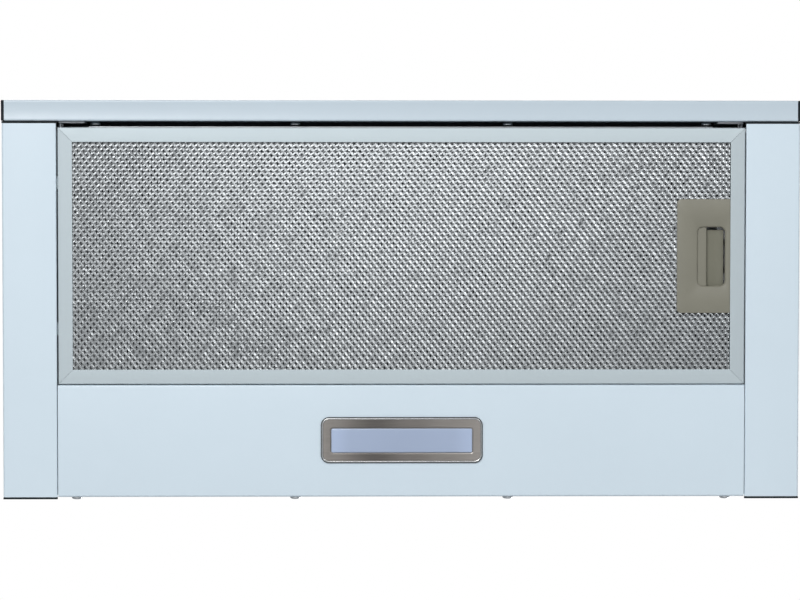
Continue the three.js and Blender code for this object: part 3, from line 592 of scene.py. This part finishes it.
def bar_section():
    """Section of the folded U strip: (distance in from the outer edge, height above its face)."""
    height = FILTER[1].z - FILTER[0].z
    r = FRAME_FOLD_R
    low_fold = np.linspace(0.2, math.pi / 2, 7)
    high_fold = np.linspace(0, math.pi / 2, 7)
    outer = [(BAR, 0.0), (r, 0.0)]
    outer += [(r - r * math.sin(a), r - r * math.cos(a)) for a in low_fold]
    outer += [(r - r * math.cos(a), height - r + r * math.sin(a)) for a in high_fold]
    outer += [(BAR, height)]
    t = FRAME_SHEET
    inner = [(BAR, height - t), (2.0, height - t), (t, height - 2.0), (t, 2.0), (2.0, t), (BAR, t)]
    return outer + inner


def filter_frame():
    x0, x1 = FILTER_LEFT, FILTER[1].x
    y0, y1 = FILTER[0].y, FILTER[1].y
    low = FILTER[0].z
    section = bar_section()
    g = MITRE_GAP

    def bar(start, stop):
        """A bar between two mitred ends, each (x, y) at a distance in from the outer edge."""
        return loft([[(*end(d), low + z) for d, z in section] for end in (start, stop)])

    front = bar(lambda d: (x0 + d + g, y0 + d), lambda d: (x1 - d - g, y0 + d))
    rear = bar(lambda d: (x0 + d + g, y1 - d), lambda d: (x1 - d - g, y1 - d))
    left = bar(lambda d: (x0 + d, y0 + d + g), lambda d: (x0 + d, y1 - d - g))
    right = bar(lambda d: (x1 - d, y0 + d + g), lambda d: (x1 - d, y1 - d - g))
    tongues = []
    for off in (-TONGUE_OFF, TONGUE_OFF):
        y = (y0 + y1) / 2 + off
        tongues.append(box(FILTER[0].x, x0 + 0.4, y - TONGUE_HALF, y + TONGUE_HALF, *TONGUE_Z))
    long_bars = merged(front, rear)
    short_bars = merged(left, right, *tongues)
    piece("filter_bars_long", long_bars, "filter", FRAME_X, ["filter_frame"], 0.12)
    # The side bars take the darker copy of the aluminium: painted shade.
    piece("filter_bars_short", short_bars, "filter", FRAME_Y_SHADE, (), 0.12)


CELL_X = 4.58
ROW = 3.0
HOLE_SIDES = 8
STRAND_LEAN = 0.3
STRAND_FACING = math.radians(-38)  # the strands' faces lean to the front and right
WARP_WAVES = ((31, 47), (-23, 29), (17, -38))  # the layers are hand laid, never quite in register


def expanded(x0, x1, y0, y1, z, hole=(0.78, 1.4), phase=(0, 0), keep=None, warp=0.0, seed=1):
    """Expanded metal: a sheet of diamonds with an oval hole in each, its strands tilted one way."""
    lean, ring = STRAND_LEAN, HOLE_SIDES
    rng = np.random.default_rng(seed)
    angles = (np.arange(ring) + 0.5) * 2 * math.pi / ring
    dirs = np.stack([np.cos(angles), np.sin(angles)], 1)
    half = np.array([CELL_X / 2, ROW])
    reach = 1 / (np.abs(dirs[:, 0]) / half[0] + np.abs(dirs[:, 1]) / half[1])
    rim = dirs * reach[:, None]
    corner_angles = np.arange(4) * math.pi / 2
    oval = dirs * np.array(hole)
    corners = np.stack([np.cos(corner_angles), np.sin(corner_angles)], 1) * half
    rows = int((y1 - y0) / ROW)
    cols = int((x1 - x0) / CELL_X)
    centres = []
    for j in range(rows + 1):
        for i in range(cols + 1):
            x = x0 + phase[0] + (i + 0.5 * (j % 2)) * CELL_X
            y = y0 + phase[1] + j * ROW
            if x0 <= x <= x1 and y0 <= y <= y1 and (keep is None or keep(x, y)):
                centres.append((x, y))
    centres = np.array(centres)
    wobble = rng.normal(0, 0.025, (len(centres), ring, 2))
    lean_here = lean * (1 + rng.normal(0, 0.1, len(centres)))
    # Each diamond is its rim with the four corners in between, then the ring of its hole.
    per_side = ring // 4
    outline = []
    for q in range(4):
        outline.append(corners[q])
        outline.extend(rim[q * per_side : (q + 1) * per_side])
    outline = np.array(outline)
    n_out = len(outline)
    count = len(centres)
    outer = np.zeros((count, n_out, 3))
    outer[:, :, :2] = centres[:, None, :] + outline[None]
    outer[:, :, 2] = z
    inner = np.zeros((count, ring, 3))
    inner[:, :, :2] = centres[:, None, :] + oval[None] + wobble
    inner[:, :, 2] = z - lean_here[:, None] * np.cos(angles - STRAND_FACING)[None]
    block = np.concatenate([outer, inner], 1)
    verts = block.reshape(-1, 3)
    for k, (wave_x, wave_y) in enumerate(WARP_WAVES):
        turn = (verts[:, 0] / wave_x + verts[:, 1] / wave_y) * 2 * math.pi + 1.7 * k + seed
        verts[:, 0] += warp * np.sin(turn)
        verts[:, 1] += warp * np.cos(turn * 1.3)
    faces = []
    for q in range(4):
        base = q * (per_side + 1)
        first = n_out + q * per_side
        for k in range(per_side - 1):
            faces.append((base + 1 + k, base + 2 + k, first + k + 1, first + k))
        corner = (base + per_side + 1) % n_out
        next_rim = (base + per_side + 2) % n_out
        i_last = first + per_side - 1
        i_next = n_out + ((q + 1) * per_side) % ring
        faces.append((base + per_side, corner, i_last))
        faces.append((corner, i_next, i_last))
        faces.append((corner, next_rim, i_next))
    return verts, faces, n_out + ring, count


def mesh_sheet(name, spec, body, material, nodes=(), thick=0.0):
    verts, faces, stride, count = expanded(**spec)
    offsets = np.arange(count)[:, None, None] * stride
    quads = np.array([f for f in faces if len(f) == 4])[None] + offsets
    tris = np.array([f for f in faces if len(f) == 3])[None] + offsets
    mesh = bpy.data.meshes.new(name)
    mesh.from_pydata(verts * MM, [], quads.reshape(-1, 4).tolist() + tris.reshape(-1, 3).tolist())
    made = bpy.data.objects.new(name, mesh)
    scene.collection.objects.link(made)
    work = bmesh.new()
    work.from_mesh(mesh)
    bmesh.ops.remove_doubles(work, verts=work.verts, dist=2e-5)
    bmesh.ops.recalc_face_normals(work, faces=work.faces)
    work.to_mesh(mesh)
    work.free()
    mesh.materials.append(material)
    if thick:
        solid = made.modifiers.new("thickness", "SOLIDIFY")
        solid.thickness = thick * MM
        solid.offset = 0
    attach(made, body)
    if nodes:
        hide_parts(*nodes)
    return made


def clear_of_latch(x, y):
    return not (x > LATCH[0].x + 0.6 and LATCH[0].y + 0.6 < y < LATCH[1].y - 0.6)


def filter_mesh():
    x0, x1 = FILTER_LEFT + BAR - 5, FILTER[1].x - BAR + 5
    y0, y1 = FILTER[0].y + BAR - 5, FILTER[1].y - BAR + 5
    z = MESH[0].z + 0.75
    seam = x0 + CELL_X * 56
    common = dict(y0=y0, y1=y1, z=z, warp=0.06, seed=3)
    left = dict(common, x0=x0, x1=seam - 0.01)
    right = dict(common, x0=seam, x1=x1, keep=clear_of_latch)
    mesh_sheet("filter_mesh_left", left, "filter", MESH_FACE, ["filter_mesh"], 0.3)
    mesh_sheet("filter_mesh_right", right, "filter", MESH_FACE, (), 0.3)
    # The back layers take the darker, painted-shade copies of the metal.
    layers = ((0.4, 0.5, MESH_SECOND_SHADE, 1.3), (0.7, 2.1, MESH_BACK_SHADE, 3.2))
    for k, (dx, dy, metal, rise) in enumerate(layers):
        spec = dict(
            x0=x0 + 1, x1=x1 - 1, y0=y0 + 1, y1=y1 - 1, z=z + rise, phase=(dx, dy),
            hole=(1.15, 1.8), warp=0.3, keep=clear_of_latch, seed=7 + k,
        )
        mesh_sheet(f"filter_mesh_layer_{k + 2}", spec, "filter", metal, ())


def inner_filter():
    low, high = INNER_MESH
    spec = dict(x0=low.x + 6, x1=high.x - 6, y0=low.y + 6, y1=high.y - 6, z=low.z + 0.6, seed=11)
    mesh_sheet("inner_mesh_sheet", spec, "housing", MESH_FACE, ["inner_filter_mesh"])
    # The backing takes the darkest, painted-shade copy of the metal.
    backing = dict(spec, z=low.z + 2.4, phase=(2.1, 1.4), warp=0.4, seed=12)
    mesh_sheet("inner_mesh_backing", backing, "housing", MESH_BACK_SHADE, ())


# ------------------------------------------------------------------ latch
WINDOW = (222.3, 242.6, -54.5, -10.5)  # the plate's opening: x0, x1, y0, y1
WINDOW_CORNER = 4.0
PLATE_CORNER = 3.4
LATCH_WALL = 1.2
GRIP_LEFT_X = 220.6
GRIP_RIGHT_X = 228.9
SLIDER_WALL = 1.5
POCKET_DEPTH = 7.2
POCKET_RISE = 1.6  # how far the finger tray's floor climbs towards the right
HOOK_X = (237.0, 240.3)  # left ends of the hook's stem and of the hook
HOOK_HALF = 6.0


def inset_loop(low, high, off, corner, least, z, steps):
    """A rounded rectangle set in from a box's sides."""
    radius = max(corner - off, least)
    return rounded_loop(low.x + off, high.x - off, low.y + off, high.y - off, radius, z, steps)


def latch_plate():
    low, high = LATCH
    plate_z, top_z = low.z, high.z
    wx0, wx1, wy0, wy1 = WINDOW
    wall = LATCH_WALL
    steps = 8

    def outer(off, z):
        return inset_loop(low, high, off, PLATE_CORNER, 0.6, z, steps)

    def window(off, z):
        corner = WINDOW_CORNER + off
        return rounded_loop(wx0 - off, wx1 + off, wy0 - off, wy1 + off, corner, z, steps)

    loops = [
        window(0.0, plate_z + wall),
        window(0.0, plate_z + 0.95),
        window(0.15, plate_z + 0.7),
        window(0.95, plate_z + 0.1),
        window(1.15, plate_z),
        outer(0.6, plate_z),
        outer(0.2, plate_z + 0.16),
        outer(0.0, plate_z + 0.6),
        outer(0.0, top_z),
        outer(wall, top_z),
        outer(wall, plate_z + wall),
    ]
    piece("latch_plate", loft(loops, closed=True), "filter", TAUPE, ["latch_housing"], 0, angle=28)


def latch_slider():
    """A grip ridge at the window's left, then a scoop for a fingertip between end walls."""
    low, high = SLIDER
    left, right = GRIP_LEFT_X, GRIP_RIGHT_X
    wall, lip_z = SLIDER_WALL, LATCH[0].z + LATCH_WALL + 0.3
    floor_top = LATCH[0].z + POCKET_DEPTH
    floor_z = floor_top - 1.2
    front, rear = low.y + wall, high.y - wall
    scoop_x0, scoop_x1 = right + 0.25, WINDOW[1] - 0.7
    grip = [(left, floor_top), (left, lip_z + 0.6), (left + 0.5, lip_z)]
    grip += [(right - 0.7, lip_z), (right - 0.2, lip_z + 0.18), (right, lip_z + 0.7)]
    grip += [(scoop_x0, floor_top)]
    body = prism(grip, "Y", front, rear)
    tray = [(scoop_x0 - 0.3, floor_top)]
    for t in np.linspace(0, 1, 13):
        drop = POCKET_RISE * (1 - math.sin(math.pi * t)) * t
        tray.append((scoop_x0 + t * (scoop_x1 - scoop_x0), floor_z - drop))
    tray.append((scoop_x1, floor_top))
    floor = prism(tray, "Y", WINDOW[2] + 2.1, rear)
    ends = [
        box(left, high.x, low.y, front + 0.05, lip_z, floor_top),
        box(left, high.x, rear - 0.05, high.y, lip_z, floor_top),
        box(high.x - wall, high.x, front, rear, lip_z, floor_top),
    ]
    stem_x, hook_x = HOOK_X
    hook_y = [mid_of(low, high).y + side * HOOK_HALF for side in (-1, 1)]
    tail = box(low.x, left + 0.8, low.y, high.y, floor_z, floor_top)
    stem = box(stem_x, hook_x + 0.2, *hook_y, floor_top - 0.4, high.z)
    hook = box(hook_x, high.x, *hook_y, high.z - 1.2, high.z)
    # The tray's darker colour is painted shade in the pocket.
    piece("latch_finger_tray", floor, "latch", TAUPE_GRAIN_AND_SHADE, (), 0.15)
    whole = merged(body, *ends, tail, stem, hook)
    piece("latch_grip", whole, "latch", TAUPE, ["latch_slider"], 0.15)


def latch_coil():
    """The slider's return spring."""
    low, high = mm_box("latch_spring")
    turns, wire, radius = 7, 0.3, 1.55
    steps = turns * 24
    mid = mid_of(low, high)
    pitch = (high.x - low.x - 2 * wire) / (2 * math.pi * turns)
    ring = [math.radians(45 * k) for k in range(8)]
    loops = []
    for i in range(steps + 1):
        turn = 2 * math.pi * turns * i / steps
        out = Vector((0, math.cos(turn), math.sin(turn)))
        along = Vector((pitch, -radius * math.sin(turn), radius * math.cos(turn))).normalized()
        side = along.cross(out)
        centre = Vector((low.x + wire + pitch * turn, mid.y, mid.z)) + out * radius
        spokes = [out * math.cos(a) + side * math.sin(a) for a in ring]
        loops.append([tuple(centre + spoke * wire) for spoke in spokes])
    coil = piece("latch_coil", loft(loops), "filter", SPRING, ["latch_spring"], 0, angle=60)
    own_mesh(coil)


# ------------------------------------------------------------------ lamp
LAMP_OPENING_HALF = (53.1, 9.3)
LAMP_CORNER = 6.1
BEZEL_SEAT_Z = -40.3


def lamp():
    low, high = BEZEL
    mid = mid_of(low, high)
    lens_y = mid.y + 0.3
    half_w, half_d = LAMP_OPENING_HALF
    seat, face = BEZEL_SEAT_Z, low.z
    steps = 10

    def outer(off, z):
        return inset_loop(low, high, off, LAMP_CORNER, 0.5, z, steps)

    def opening(off, z, radius=1.7):
        x, y = half_w + off, half_d + off
        corner = max(radius + off, 0.3)
        return rounded_loop(mid.x - x, mid.x + x, lens_y - y, lens_y + y, corner, z, steps)

    # Painted shadow: a near-black ring round the bezel's foot stands for the shadow gap against the
    # panel.
    seal = [outer(0.0, seat), outer(0.0, face + 0.9), outer(0.7, face + 0.9), outer(0.7, seat)]
    piece("lamp_bezel_seal", loft(seal, closed=True), "housing", BEZEL_SHADOW_RING, (), 0, angle=30)
    rim = [
        outer(0.55, seat),
        outer(0.55, face + 0.5),
        outer(0.65, face + 0.2),
        outer(0.95, face),
        outer(1.35, face),
        outer(1.7, face + 0.2),
        outer(1.9, face + 0.45),
        outer(2.0, seat),
    ]
    ring = loft(rim, closed=True)
    # Painted highlight: the rim is coloured lighter than the band.
    piece("lamp_bezel_rim", ring, "housing", BEZEL_RIM_HIGHLIGHT, ["lamp_bezel"], 0, angle=50)
    band = [
        outer(1.85, seat),
        outer(1.85, face + 0.38),
        opening(0.75, face + 0.38),
        opening(0.4, face + 0.5),
        opening(0.2, face + 0.9),
        opening(0.15, seat + 0.3),
    ]
    piece("lamp_bezel_band", loft(band, closed=True), "housing", BEZEL_METAL, (), 0, angle=12)
    gasket = [opening(0.14, seat + 0.2), opening(0.14, face + 1.0)]
    gasket += [opening(-0.22, face + 1.0), opening(-0.22, seat + 0.2)]
    piece("lamp_gasket", loft(gasket, closed=True), "housing", LAMP_GASKET, (), 0, angle=24)
    glass = [opening(-0.25, LENS[1].z, 1.5), opening(-0.25, face + 1.2, 1.5)]
    glass += [opening(off, face + z, 1.0) for off, z in ((-0.5, 0.95), (-1.4, 0.86), (-4.0, 0.8))]
    piece("lamp_diffuser", loft(glass), "housing", LENS_PLASTIC, ["lamp_lens"], 0, angle=60)


# ------------------------------------------------------------------ screws
HEAD_R = 4.0
HEAD_H = 2.0
SHANK_R = 1.7


def pan_head(length):
    """A pan head screw along +Z, its seat at z = 0."""
    rings = [(0.01, -length), (SHANK_R * 0.6, -length), (SHANK_R, -length + 1.0), (SHANK_R, 0)]
    rings += [(HEAD_R - 0.15, 0), (HEAD_R, 0.12), (HEAD_R, HEAD_H * 0.3)]
    for a in np.linspace(0.15, 1.45, 8):
        rings.append((HEAD_R * math.cos(a) ** 0.55, HEAD_H * (0.3 + 0.7 * math.sin(a))))
    rings.append((0.01, HEAD_H))
    return lathe(rings, sides=40)


def cross_recess():
    half_slot, reach = 0.31, 1.9
    depth = (HEAD_H - 1.0, HEAD_H + 1)
    return [
        box(-reach, reach, -half_slot, half_slot, *depth),
        box(-half_slot, half_slot, -reach, reach, *depth),
    ]


def screws():
    for name in FRONT_SCREWS + REAR_SCREWS:
        low, high = mm_box(name)
        mid = mid_of(low, high)
        front = name.startswith("front")
        seat_y = low.y + 0.8 if front else high.y - HEAD_H
        length = (high.y - seat_y) if front else (seat_y - low.y)
        turn = Matrix.Rotation(math.radians(90 if front else -90), 3, "X")
        turn @= Matrix.Rotation(0.7 + 1.3 * int(name[-1]), 3, "Z")
        place = (mid.x, seat_y, mid.z)
        head = moved(pan_head(length), place, turn)
        cuts = [moved(c, place, turn) for c in cross_recess()]
        piece(f"pan_{name}", head, "housing", SCREW, [name], 0, cuts)
        if front:
            # Painted shade: a dark disc behind each front screw's head hides its shank and stands
            # for the shade in the slot.
            near, far = 0.05, low.y + 1.95 - seat_y
            rings = [(1.9, near), (3.7, near), (3.7, far), (1.9, far)]
            shade_washer = lathe_y(rings, *place, closed=True)
            piece(f"washer_{name}", shade_washer, "housing", SEAL, (), 0)


# ------------------------------------------------------------------ buttons, collar, gland
def buttons():
    for name in BUTTONS:
        low, high = mm_box(name)
        mid = mid_of(low, high)
        long = high.y - low.y
        rings = [(0.01, 0.35), (2.6, 0.3), (3.9, 0.1), (4.4, 0.0), (4.8, 0.08), (5.0, 0.35)]
        rings += [(5.0, 2.2), (2.0, 2.2), (2.0, long), (0.01, long)]
        cap = lathe_y(rings, mid.x, low.y, mid.z)
        piece(f"{name}_cap", cap, frame["nodes"][name]["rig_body"], GREY, [name], 0, angle=40)


COLLAR_R = (57.5, 60.0)  # inner and outer
FLANGE_R = 69.0
FLAP_AXIS_Z = 141.0
FLAP_PIN_R = 1.5


def outlet():
    low, high = COLLAR
    mid = mid_of(low, high)
    r_in, r_out = COLLAR_R
    base, top = low.z, high.z
    rings = [(r_in, base), (FLANGE_R, base), (FLANGE_R, base + 1.6), (FLANGE_R - 0.4, base + 2.0)]
    rings += [(r_out + 1.2, base + 2.0), (r_out + 0.2, base + 2.6), (r_out, base + 3.4)]
    rings += [(r_out, top - 7.0), (r_out + 0.6, top - 6.4), (r_out + 0.6, top - 5.6)]
    rings += [(r_out, top - 5.0), (r_out - 0.1, top - 0.5), (r_out - 0.5, top)]
    rings += [(r_in + 0.4, top), (r_in, top - 0.4)]
    holes = []
    for flap in ("damper_flap_front", "damper_flap_rear"):
        a, b = mm_box(flap)
        axis_y = b.y - FLAP_PIN_R if flap.endswith("front") else a.y + FLAP_PIN_R
        holes.append(rod("X", -58.9, 58.9, axis_y, FLAP_AXIS_Z, FLAP_PIN_R + 0.3, 16))
    spigot = lathe(rings, mid.x, mid.y, 96, closed=True)
    piece("outlet_spigot", spigot, "housing", GREY, ["outlet_collar"], 0, holes, angle=28)


def gland():
    low, high = GLAND
    mid = mid_of(low, high)
    deck = SHELL[1].z + 0.3
    nut_rings = [(11.2, deck), (12.0, deck + 0.6), (12.0, deck + 4.4), (11.2, deck + 5)]
    nut = lathe(nut_rings, mid.x, mid.y, sides=6)
    bore = rod("Z", low.z - 1, high.z + 1, mid.x, mid.y, 4.0, 40)
    nut_bore = rod("Z", deck - 1, deck + 6, mid.x, mid.y, 9.05, 40)
    rings = [(8.0, low.z), (8.0, deck + 4), (9.0, deck + 5.2), (9.0, deck + 12)]
    rings += [(8.4, deck + 13.4), (7.2, deck + 15), (6.2, high.z)]
    dome = lathe(rings, mid.x, mid.y)
    piece("gland_body", dome, "housing", BLACK, ["cable_gland"], 0.15, [bore])
    piece("gland_nut", nut, "housing", BLACK, (), 0.25, [nut_bore])


# ------------------------------------------------------------------ details on the blower box
RIVET = ((2.4, 0.02), (2.3, 0.45), (1.6, 0.95), (0.01, 1.1))  # (radius, height) of its domed head
RIVET_EDGE = 6.0
RIVET_END = 18.0
BEAD_PLACES = ((-235, -95, -90), (-235, -95, 60), (95, 175, -90), (95, 175, 60))  # x0, x1, y0
BEAD_WIDTH = 12.0
BEAD_STEPS = ((0, 0.02), (0.9, 0.55), (2.0, 0.9), (3.4, 1.0))  # (inset, height)


def shell_details():
    """Rivets along the box's seams and pressed stiffening beads on its top."""
    low, high = SHELL
    rivets = []
    for side in (-1, 1):
        x = side * (high.x - RIVET_EDGE)
        for y in np.linspace(low.y + RIVET_END, high.y - RIVET_END, 6):
            rivets.append(lathe([(r, high.z + t) for r, t in RIVET], x, y, 20))
        for z in np.linspace(16, high.z - RIVET_END, 4):
            rivets.append(lathe_y(RIVET, x, low.y, z, 20, sign=-1))
            rivets.append(lathe_y(RIVET, x, high.y, z, 20))
    piece("box_rivets", merged(*rivets), "housing", SCREW, (), 0)
    beads = []
    for x0, x1, y0 in BEAD_PLACES:
        corners = Vector((x0, y0, 0)), Vector((x1, y0 + BEAD_WIDTH, 0))
        rings = []
        for off, z in BEAD_STEPS:
            rings.append(inset_loop(*corners, off, BEAD_WIDTH / 2, 0, high.z + z, 8))
        beads.append(loft(rings))
    piece("box_beads", merged(*beads), "housing", ZINC, (), 0, angle=50)


# ------------------------------------------------------------------ CAD nodes that keep their shape
def pair(stem):
    return [f"{stem}_left", f"{stem}_right"]


KEPT = {
    BLACK: pair("channel_front_cap") + pair("channel_rear_cap"),
    SEAL: ["fascia_seal"],
    ZINC: ["housing_shell", *pair("housing_side"), "base_frame", *pair("rail"), "drawer_crossbar"],
    BRIGHT_ZINC: pair("drawer_arm"),
    FRAME_X: ["inner_filter_frame"],
    SPRING: [*pair("cabinet_clip"), *pair("runner"), "latch_strike", "fan_shaft"],
    GREY: [
        "lamp_housing", *pair("fan_scroll"), "fan_wheel", "run_capacitor", "terminal_cover",
        "damper_flap_front", "damper_flap_rear", "switch_block",
    ],
    BOARD: ["lamp_board"],
    MOTOR: ["fan_motor"],
}
FINE_EDGE = 0.15


def keep_cad():
    for material, names in KEPT.items():
        for name in names:
            node = frame["nodes"][name]
            node.data.materials.clear()
            node.data.materials.append(material)
            if name != "fan_wheel":
                bevel(node, FINE_EDGE, 2, 30)


# ------------------------------------------------------------------ camera, light and floor
CAMERA_DISTANCE = 2.0
CAMERA_TILT = math.radians(2.25)
CAMERA_YAW = math.radians(0.99)
CAMERA_ROLL = math.radians(0.027)
CAMERA_LENS = 120.16
CAMERA_AIM = Vector((-0.00137, 0.00005, -0.040))


def camera_below():
    """A camera under the hood that looks up, with the hood's front at the top of its view."""
    data = bpy.data.cameras.new("camera")
    camera = bpy.data.objects.new("camera", data)
    scene.collection.objects.link(camera)
    scene.camera = camera
    data.lens = CAMERA_LENS
    data.sensor_width = 36
    level = math.cos(CAMERA_TILT)
    across, down = math.sin(CAMERA_YAW) * level, math.cos(CAMERA_YAW) * level
    back = -Vector((across, math.sin(CAMERA_TILT), down))
    right = (-back).cross(Vector((0, -1, 0))).normalized()
    up = right.cross(-back)
    place = Matrix.Translation(CAMERA_AIM + back * CAMERA_DISTANCE)
    upright = Matrix((right, up, back)).transposed().to_4x4()
    camera.matrix_world = place @ upright @ Matrix.Rotation(CAMERA_ROLL, 4, "Z")


def daylight():
    """A soft grey world that the camera sees as plain white."""
    world = bpy.data.worlds.new("studio")
    scene.world = world
    world.use_nodes = True
    tree = world.node_tree
    background = tree.nodes["Background"]
    background.inputs["Color"].default_value = (0.62, 0.66, 0.70, 1)
    background.inputs["Strength"].default_value = 0.42
    seen = tree.nodes.new("ShaderNodeBackground")
    seen.inputs["Color"].default_value = (1, 1, 1, 1)
    path = tree.nodes.new("ShaderNodeLightPath")
    mix = tree.nodes.new("ShaderNodeMixShader")
    tree.links.new(path.outputs["Is Camera Ray"], mix.inputs[0])
    tree.links.new(background.outputs[0], mix.inputs[1])
    tree.links.new(seen.outputs[0], mix.inputs[2])
    tree.links.new(mix.outputs[0], tree.nodes["World Output"].inputs["Surface"])


def soft_box(name, place, size, power):
    """A rectangular area light aimed at the hood."""
    data = bpy.data.lights.new(name, "AREA")
    data.shape = "RECTANGLE"
    data.size, data.size_y = size
    data.energy = power
    light = bpy.data.objects.new(name, data)
    light.location = place
    light.rotation_mode = "QUATERNION"
    light.rotation_quaternion = (-Vector(place)).to_track_quat("-Z", "Y")
    scene.collection.objects.link(light)


FLOOR_HALF = 9000
FLOOR_Z = -2600


def pale_floor():
    """A floor of pale paper that reads lighter to the camera than to the hood."""
    corners = ((-1, -1), (1, -1), (1, 1), (-1, 1))
    verts = [(x * FLOOR_HALF, y * FLOOR_HALF, FLOOR_Z) for x, y in corners]
    floor = new_object("floor", (verts, [(0, 1, 2, 3)]))
    paper = Finish("pale_floor", (0.82, 0.82, 0.82), 0.7)
    paper.shade(paper.noise(3, 3), 0.01)
    glow = paper.node("ShaderNodeEmission")
    glow.inputs["Strength"].default_value = 0.8
    seen_floor = paper.node("ShaderNodeLightPath")
    blend = paper.node("ShaderNodeMixShader")
    share = paper.remap(seen_floor.outputs["Is Camera Ray"], 0, 0.6, (0, 1))
    paper.link(share, blend.inputs[0])
    paper.link(paper.shader.outputs[0], blend.inputs[1])
    paper.link(glow.outputs[0], blend.inputs[2])
    paper.link(blend.outputs[0], paper.tree.nodes["Material Output"].inputs["Surface"])
    floor.data.materials.append(paper.material)


def studio():
    camera_below()
    daylight()
    soft_box("key", (-0.5, -0.8, -1.85), (0.8, 0.8), 18)
    soft_box("fill", (1.05, -0.8, -1.75), (0.6, 0.6), 6)
    soft_box("rear_low", (0.1, 1.2, -1.9), (1.6, 1.0), 2)
    soft_box("top", (-1.0, -1.4, 2.4), (2.0, 2.0), 60)
    soft_box("top_rear", (1.6, 1.6, 2.0), (1.6, 1.6), 36)
    pale_floor()
    scene.view_settings.view_transform = "Standard"
    scene.view_settings.look = "None"


studio()
fascia()
side_channels()
light_panel()
filter_frame()
filter_mesh()
inner_filter()
latch_plate()
latch_slider()
latch_coil()
lamp()
screws()
buttons()
outlet()
gland()
shell_details()
keep_cad()
